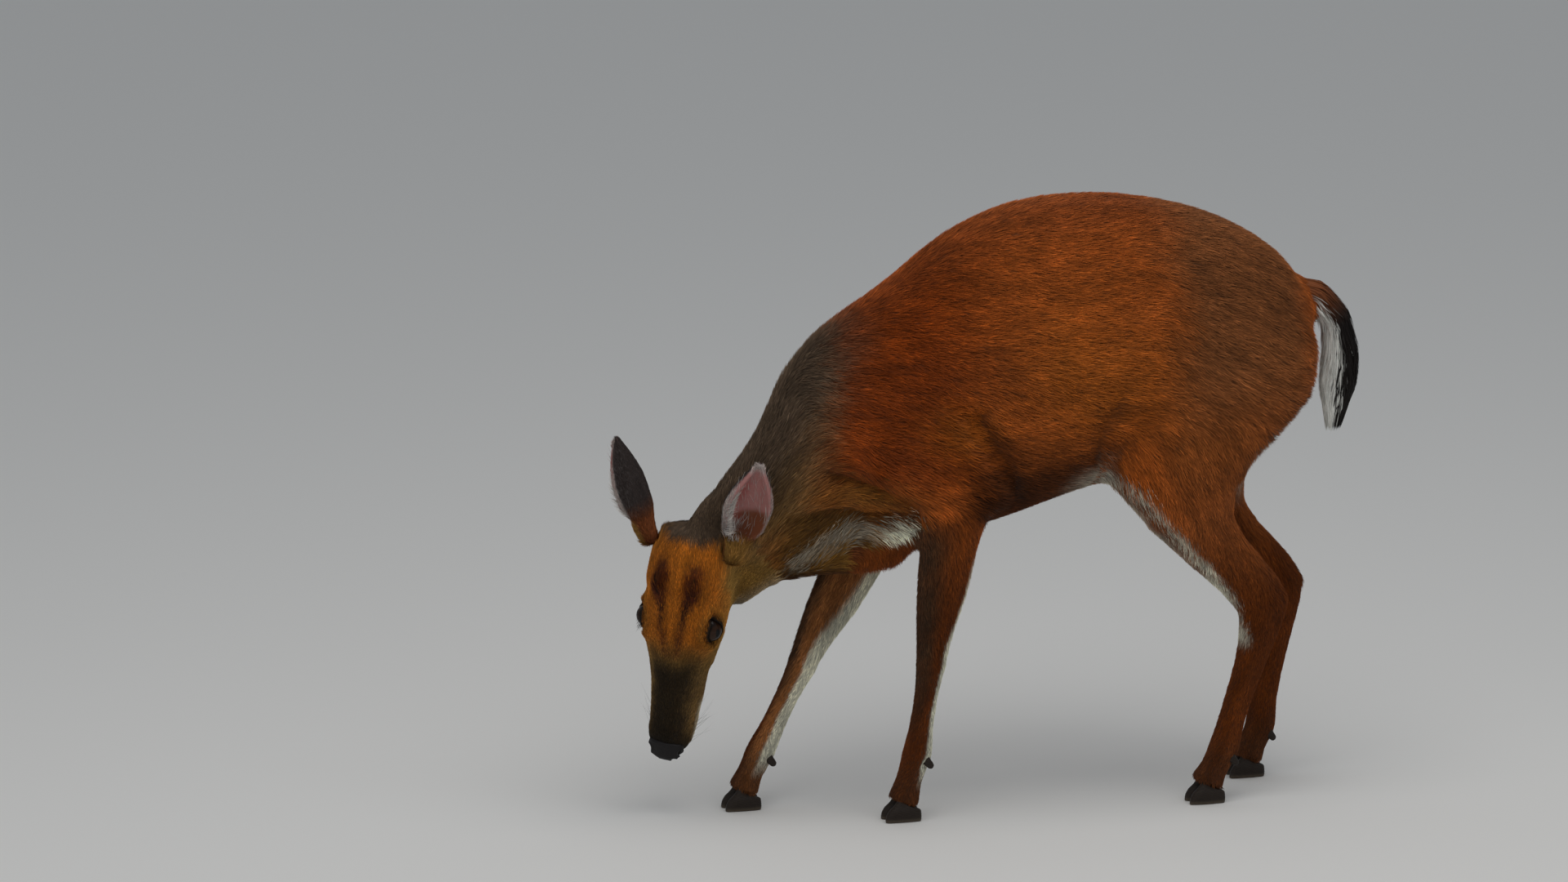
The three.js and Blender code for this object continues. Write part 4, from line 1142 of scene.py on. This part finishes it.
def strew(ground, density, chance, leave_bare=None):
    """Roots strewn over a surface, so many to a square centimetre at each of its vertices."""
    wanted = ground.areas * density[ground.triangles].mean(axis=1) / (10 * MM) ** 2
    count = int(wanted.sum())
    picks = chance.choice(len(wanted), count, p=wanted / wanted.sum())
    a, b = chance.random((2, count))
    a, b = np.where(a + b > 1, 1 - a, a), np.where(a + b > 1, 1 - b, b)
    shares = np.stack([1 - a - b, a, b], 1)
    if leave_bare is not None:
        keep = ~leave_bare(np.einsum("ij,ijk->ik", shares, ground.spots[ground.triangles[picks]]))
        picks, shares = picks[keep], shares[keep]
    return picks, shares


def grow(
    name,
    ground,
    density,
    sizes,
    lies,
    colour_of,
    seed,
    rings=1,
    curl=0.0,
    wild=1.0,
    leave_bare=None,
):
    """One piece of hair on a surface. Sizes are rows of length, width and rise for its vertices."""
    chance = np.random.default_rng(seed)
    picks, shares = strew(ground, density, chance, leave_bare)
    count = len(picks)

    def at_roots(values):
        return np.einsum("ij,ijk->ik", shares, values[ground.triangles[picks]])

    roots, facing, lie = at_roots(ground.spots), unit(at_roots(ground.facing)), unit(at_roots(lies))
    root_uv = np.einsum("ij,ijk->ik", shares, ground.uv[picks])
    aside = np.cross(facing, lie)
    sway = 0.16 * chance.normal(size=count) + 0.5 * (cloud(roots, 22, 3) - 0.5)
    sway = sway + 0.3 * (cloud(roots, 60, 4) - 0.5)
    way = unit(lie + aside * (wild * sway)[:, None])
    size = at_roots(sizes) * MM * chance.uniform(SMALLEST, LARGEST, (count, 3))
    length, width, rise = size.T
    start = roots - facing * (0.25 * width)[:, None]
    steps = np.linspace(0, 1, rings + 1)[None, :, None]
    reach = way * length[:, None] + facing * rise[:, None]
    bend = curl * length[:, None] * (aside * np.sign(sway)[:, None] - 0.3 * facing)
    paths = start[:, None] + reach[:, None] * steps + bend[:, None] * steps**2
    grain = unit(lie.mean(axis=0))
    drawn_out = roots - 0.75 * grain * (roots @ grain)[:, None]
    glow = 0.18 * chance.normal(size=count) + 0.6 * (cloud(drawn_out, 6, 5) - 0.5)
    glow += 0.35 * (cloud(drawn_out, 20, 6) - 0.5)
    strayed = roots + 0.35 * length[:, None] * chance.normal(size=(count, 3))
    colour = colour_of(strayed, facing, ground.part[ground.triangles[picks, 0]]) * np.exp(glow)[:, None]
    tips = TIP_TINT * np.where(chance.random(count) < GLINTS, GLINT, 1.0)[:, None]
    colours = colour[:, None] * (ROOT_TINT + (tips[:, None] - ROOT_TINT) * steps)
    taper = np.linspace(1, 0.45, rings)[None]
    across = unit(np.cross(facing, way))
    half, thick = width[:, None] / 2 * taper, 0.45 * width[:, None] * taper
    piece = hair_mesh(name, paths, across, facing, half, thick, colours, root_uv)
    piece.data.materials.append(hair)
    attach(piece, "root")


def lie_of(node):
    """The way the hair of a node lies, before the skin bends it."""
    part = part_name(node)
    if part in TRUNK_LIE:
        return unit(TRUNK_LIE[part])
    if part == "neck":
        return unit(middle("chest") + (0, 0, 0.06) - middle("neck"))
    if part in LEG_CHAIN:
        return unit(middle(node.replace(part, LEG_CHAIN[part])) - middle(node))
    return -head_ahead


def along_surface(lies, facing):
    """Ways of lying laid flat on the surface."""
    return unit(lies - facing * np.sum(lies * facing, axis=1, keepdims=True))


def bare(rows):
    """Where no tuft grows: between the lids, on the nose pad, along the mouth and in the glands."""
    half = mirrored(in_head(rows))
    lids = lid_ring((half - EYE_FROM_POLL) @ eye_axes(1).T) < 1.2
    pad = (half[:, 1] > 204) & (half[:, 2] > -34) & (half[:, 0] < 19)
    lips = (np.abs(above_mouth(half)) < 0.9) & (half[:, 1] > MOUTH_CORNER[1])
    slit = distance_to(half, GLAND) < 1.5
    on_head = (np.abs(half[:, 0]) < 45) & (half[:, 1] > 0) & (half[:, 1] < 230) & (half[:, 2] > -100)
    return (lids | pad | lips | slit) & on_head


skin_ground = ground_of(skin, skin_part)
lies = spread(skin, np.array([lie_of(name) for name in node_names])[skin_node], EVEN, LIE_ROUNDS)
lies = along_surface(lies, skin_ground.facing)
tuft_sizes = spread(skin, np.array([TUFTS[part] for part in PARTS])[skin_part], EVEN, SIZE_ROUNDS)
half_head = mirrored(in_head(skin_ground.spots))
# Tufts are longer on the knobs, at the elbows, round the ears, over the hooves and under the throat
on_knob = lump(np.linalg.norm(half_head - (18, 45, 3), axis=1), 0, 8) * (half_head[:, 1] > 0)
on_knob *= np.linalg.norm(skin_ground.spots - from_head((0, 45, 0)), axis=1) < 60 * MM
by_elbow = distance_to(skin_ground.spots[:, [0, 2]] / MM, [(-30, 318), (-16, 306)])
by_elbow = fall(by_elbow, 5, 14) * (np.abs(skin_ground.spots[:, 1]) > 45 * MM)
tuft_sizes[:, 0] *= 1 + 1.3 * on_knob + 0.7 * by_elbow
tuft_sizes[:, 2] *= 1 + 2.2 * on_knob + 0.5 * by_elbow
by_ear = distance_to(half_head, [(44, 20, -26), (44, 4, -28)])
by_ear = fall(by_ear, 14, 24) * (half_head[:, 1] > -10) * (half_head[:, 0] < 60)
tuft_sizes[:, 0] *= 1 + 1.2 * by_ear
tuft_sizes[:, 0] *= 1 + 0.7 * fall(skin_ground.spots[:, 2] / MM, 16, 28)
in_throat = lump(skin_ground.spots[:, 0] / MM, -112, 40) * ramp(-skin_ground.facing[:, 2], 0.0, 0.4)
tuft_sizes[:, 0] *= 1 + 0.35 * in_throat * (skin_ground.spots[:, 2] > 225 * MM)
left_half = skin_ground.spots[:, 1] < 0
left_face = in_head(skin_ground.spots)[:, 0] < 0
hind_half = skin_ground.spots[:, 0] > 90 * MM
everywhere = np.full(len(left_half), True)
COATS = [
    ("coat_chest_left", ("chest",), left_half, "body_coat"),
    ("coat_chest_right", ("chest",), ~left_half, "body_coat"),
    ("coat_belly", ("belly",), everywhere, "body_coat"),
    ("coat_rump", ("rump", "dock"), everywhere, "body_coat"),
    ("coat_neck", ("neck",), everywhere, "neck_coat"),
    ("coat_face_left", ("head",), left_face, "face_coat"),
    ("coat_face_right", ("head",), ~left_face, "face_coat"),
    ("coat_jaw", ("lower_jaw", "nose", "eye"), everywhere, "face_coat"),
    ("coat_forearms", ("forearm",), everywhere, "body_coat"),
    ("coat_thighs", ("thigh", "gaskin"), everywhere, "body_coat"),
    ("coat_fore_feet", ("cannon", "foot"), ~hind_half, "leg_coat"),
    ("coat_hind_feet", ("cannon", "foot"), hind_half, "leg_coat"),
]
for seed, (name, parts, where, slot) in enumerate(COATS, 21):
    density = tuft_sizes[:, 3] * (belongs(skin_part, parts) & where)
    grow(name, skin_ground, density, tuft_sizes[:, :3], lies, coat_colour, seed, leave_bare=bare)


# The hair of the ears
# Short slate hair lies up the back of each ear and stands out pale along its rim. Long thin white hairs
# fan in from the front margin over the cup, and a pale tuft fills the notch at its root.
# The table gives for each kind: length, width and rise in millimetres and hairs to a square centimetre
EAR_HAIRS = {
    "short": (3.4, 0.55, 0.9, 150),
    "rim": (3.4, 0.42, 0.9, 260),
    "fan": (10, 0.36, 2.2, 85),
    "notch": (9, 0.5, 2.6, 110),
}
EAR_HAIRS = {kind: np.array(values) for kind, values in EAR_HAIRS.items()}
for seed, (name, ear) in enumerate(ears.items(), 51):
    ground = ground_of(ear, np.zeros(len(ear.data.vertices), int))
    front, height, hollow, rim, outwards = ear_zones(ground.spots, ground.facing, name)
    side_way, out_way, up_way = ear_axes(name) @ head_axes
    to_margin = np.sign(in_ear(ground.spots, name)[:, :1]) * side_way
    kinds = {kind: np.tile(values, (len(front), 1)) for kind, values in EAR_HAIRS.items()}
    sizes = mix(kinds["short"], kinds["rim"], rim)
    by_root = fall(height, 2, 24)
    grow(
        "ear_hair_" + name,
        ground,
        sizes[:, 3] * np.maximum(fall(hollow, 0.2, 0.6), rim),
        sizes[:, :3] * (1 + 1.1 * by_root)[:, None],
        along_surface(up_way + 0.9 * rim[:, None] * to_margin, ground.facing),
        lambda rows, facing, part: ear_colour(rows, facing, name),
        seed,
        wild=0.6,
    )
    fan = hollow * ramp(front, 0.4, 0.7) * ramp(height, 14, 22) * fall(height, 42, 66)
    sparse = hollow * (1 - rim) * 0.04
    notch = lump(height, 18, 5) * ramp(outwards, 0.2, 0.6) * ramp(front, -0.3, 0.4)
    sizes = mix(kinds["fan"], kinds["notch"], notch)
    fan_way = up_way * (1 - 0.5 * fan)[:, None] - to_margin * (0.9 * fan)[:, None]
    grow(
        "ear_fringe_" + name,
        ground,
        EAR_HAIRS["fan"][3] * (fan + sparse) + EAR_HAIRS["notch"][3] * notch,
        sizes[:, :3],
        along_surface(fan_way, ground.facing),
        lambda rows, facing, part: all_in("ear rim", rows),
        seed + 10,
        rings=3,
        curl=0.12,
    )


# The lashes and whiskers
# Dark lashes stand along each upper lid, and a few long stiff whiskers on the upper lip and chin.
LASHES, LASH_LENGTH, LASH_HALF = 38, 5.8, 0.13
# Length, width and rise of a whisker in millimetres
WHISKER = (24.0, 0.34, 16.0)


def lash_line(side, chance):
    """Roots, ways out and ways up of the lashes of one eye, in head places."""
    axes = eye_axes(side)
    along_way, up_way, look = axes
    along = np.linspace(-0.7, 0.78, LASHES) * EYE_OPENING[0] + chance.normal(size=LASHES) * 0.2
    up = 1.05 * EYE_OPENING[1] * (1 - (along / EYE_OPENING[0]) ** 2)
    out = np.sqrt((EYE_RADIUS + LID) ** 2 - along**2 - up**2)
    roots = np.stack([along, up, out - 0.3], 1) @ axes + on_side(EYE_FROM_POLL, side)
    lean = (0.35 * chance.normal(size=LASHES)[:, None] + 0.3) * along_way
    return roots, look + lean, up_way


chance = np.random.default_rng(71)
steps = np.linspace(0, 1, 5)[None, :, None]
for name, side in SIDES.items():
    roots, out_ways, up_way = lash_line(side, chance)
    length = LASH_LENGTH * chance.uniform(0.7, 1.1, (LASHES, 1, 1))
    curve = out_ways[:, None] * steps * 0.8 + up_way * (0.2 * steps + 0.6 * steps**2)
    paths = roots[:, None] + length * curve
    half = np.tile(LASH_HALF * MM * np.array([1, 0.9, 0.75, 0.5]), (LASHES, 1))
    up_rows = np.tile(unit(up_way @ head_axes), (LASHES, 1))
    ways = unit((paths[:, -1] - paths[:, 0]) @ head_axes)
    colours = np.tile(PAINT["black brown"] * 0.6, (LASHES, 5, 1))
    root_uv = np.stack([np.linspace(0.1, 0.9, LASHES), np.full(LASHES, 0.5)], 1)
    across = unit(np.cross(up_rows, ways))
    lashes = hair_mesh("lashes_" + name, from_head(paths), across, up_rows, half, half, colours, root_uv)
    lashes.data.materials.append(hair)
    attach(lashes, "root")

places = in_head(skin_ground.spots)
half_head = mirrored(places)
above = above_mouth(half_head)
near_face = (places[:, 1] > 0) & (places[:, 1] < 230) & (np.abs(places[:, 0]) < 40)
on_lip = lump(half_head[:, 1], 190, 8) * lump(above, 9, 3.5) * (half_head[:, 0] > 12)
on_chin = lump(half_head[:, 1], 186, 9) * (above < -8) * 0.4
whisker_way = np.tile(-0.5 * head_ahead - 0.4 * head_out, (len(places), 1))
grow(
    "whiskers",
    skin_ground,
    7.0 * (on_lip + on_chin) * near_face,
    np.tile(WHISKER, (len(places), 1)),
    along_surface(whisker_way, skin_ground.facing),
    lambda rows, facing, part: all_in("black brown", rows),
    81,
    rings=4,
    curl=0.15,
    leave_bare=bare,
)


# The floor, the light and the camera
# A pale studio floor under soft top light, seen from low on the doe's left as in the photograph.
AIM = Vector((-0.1986, 0.0, 0.3591))
AZIMUTH, ELEVATION = math.radians(-15), math.radians(12)
DISTANCE = 10.0
LENS, SENSOR = 247.5, 36
FLOOR_HALF = 40
FLOOR_COLOUR, FLOOR_ROUGHNESS = (0.88, 0.87, 0.85, 1), 0.9
ROOM_COLOUR, ROOM_LIGHT = (0.80, 0.84, 0.88, 1), 0.35
LAMP_AIM = Vector((0, 0, 0.35))

floor_bm = bmesh.new()
bmesh.ops.create_grid(floor_bm, x_segments=1, y_segments=1, size=FLOOR_HALF)
floor = new_piece("floor", floor_bm)
floor_finish = bpy.data.materials.new("studio_floor")
floor_finish.use_nodes = True
surface = floor_finish.node_tree.nodes["Principled BSDF"]
surface.inputs["Base Color"].default_value = FLOOR_COLOUR
surface.inputs["Roughness"].default_value = FLOOR_ROUGHNESS
floor.data.materials.append(floor_finish)

studio = bpy.data.worlds.new("studio")
bpy.context.scene.world = studio
studio.use_nodes = True
room = studio.node_tree.nodes["Background"]
room.inputs["Color"].default_value = ROOM_COLOUR
room.inputs["Strength"].default_value = ROOM_LIGHT


def soft_lamp(name, at, size, watts, colour):
    """A square soft box that shines at the doe."""
    lamp = bpy.data.lights.new(name, "AREA")
    lamp.size = size
    lamp.energy = watts
    lamp.color = colour
    place = add_object(name, lamp)
    place.location = at
    place.rotation_euler = (LAMP_AIM - Vector(at)).to_track_quat("-Z", "Y").to_euler()


soft_lamp("sky_box", (0.1, -0.9, 2.6), 2.2, 25, (1.0, 0.98, 0.95))
soft_lamp("side_box", (-2.2, -1.8, 1.3), 1.6, 5, (1.0, 0.97, 0.93))

camera = bpy.data.cameras.new("camera")
camera.lens = LENS
camera.sensor_width = SENSOR
camera.clip_end = 200
view = add_object("camera", camera)
level = math.cos(ELEVATION)
back = Vector((math.sin(AZIMUTH) * level, -math.cos(AZIMUTH) * level, math.sin(ELEVATION)))
view.location = AIM + back * DISTANCE
view.rotation_euler = (-back).to_track_quat("-Z", "Y").to_euler()
bpy.context.scene.camera = view
bpy.context.scene.view_settings.view_transform = "Standard"
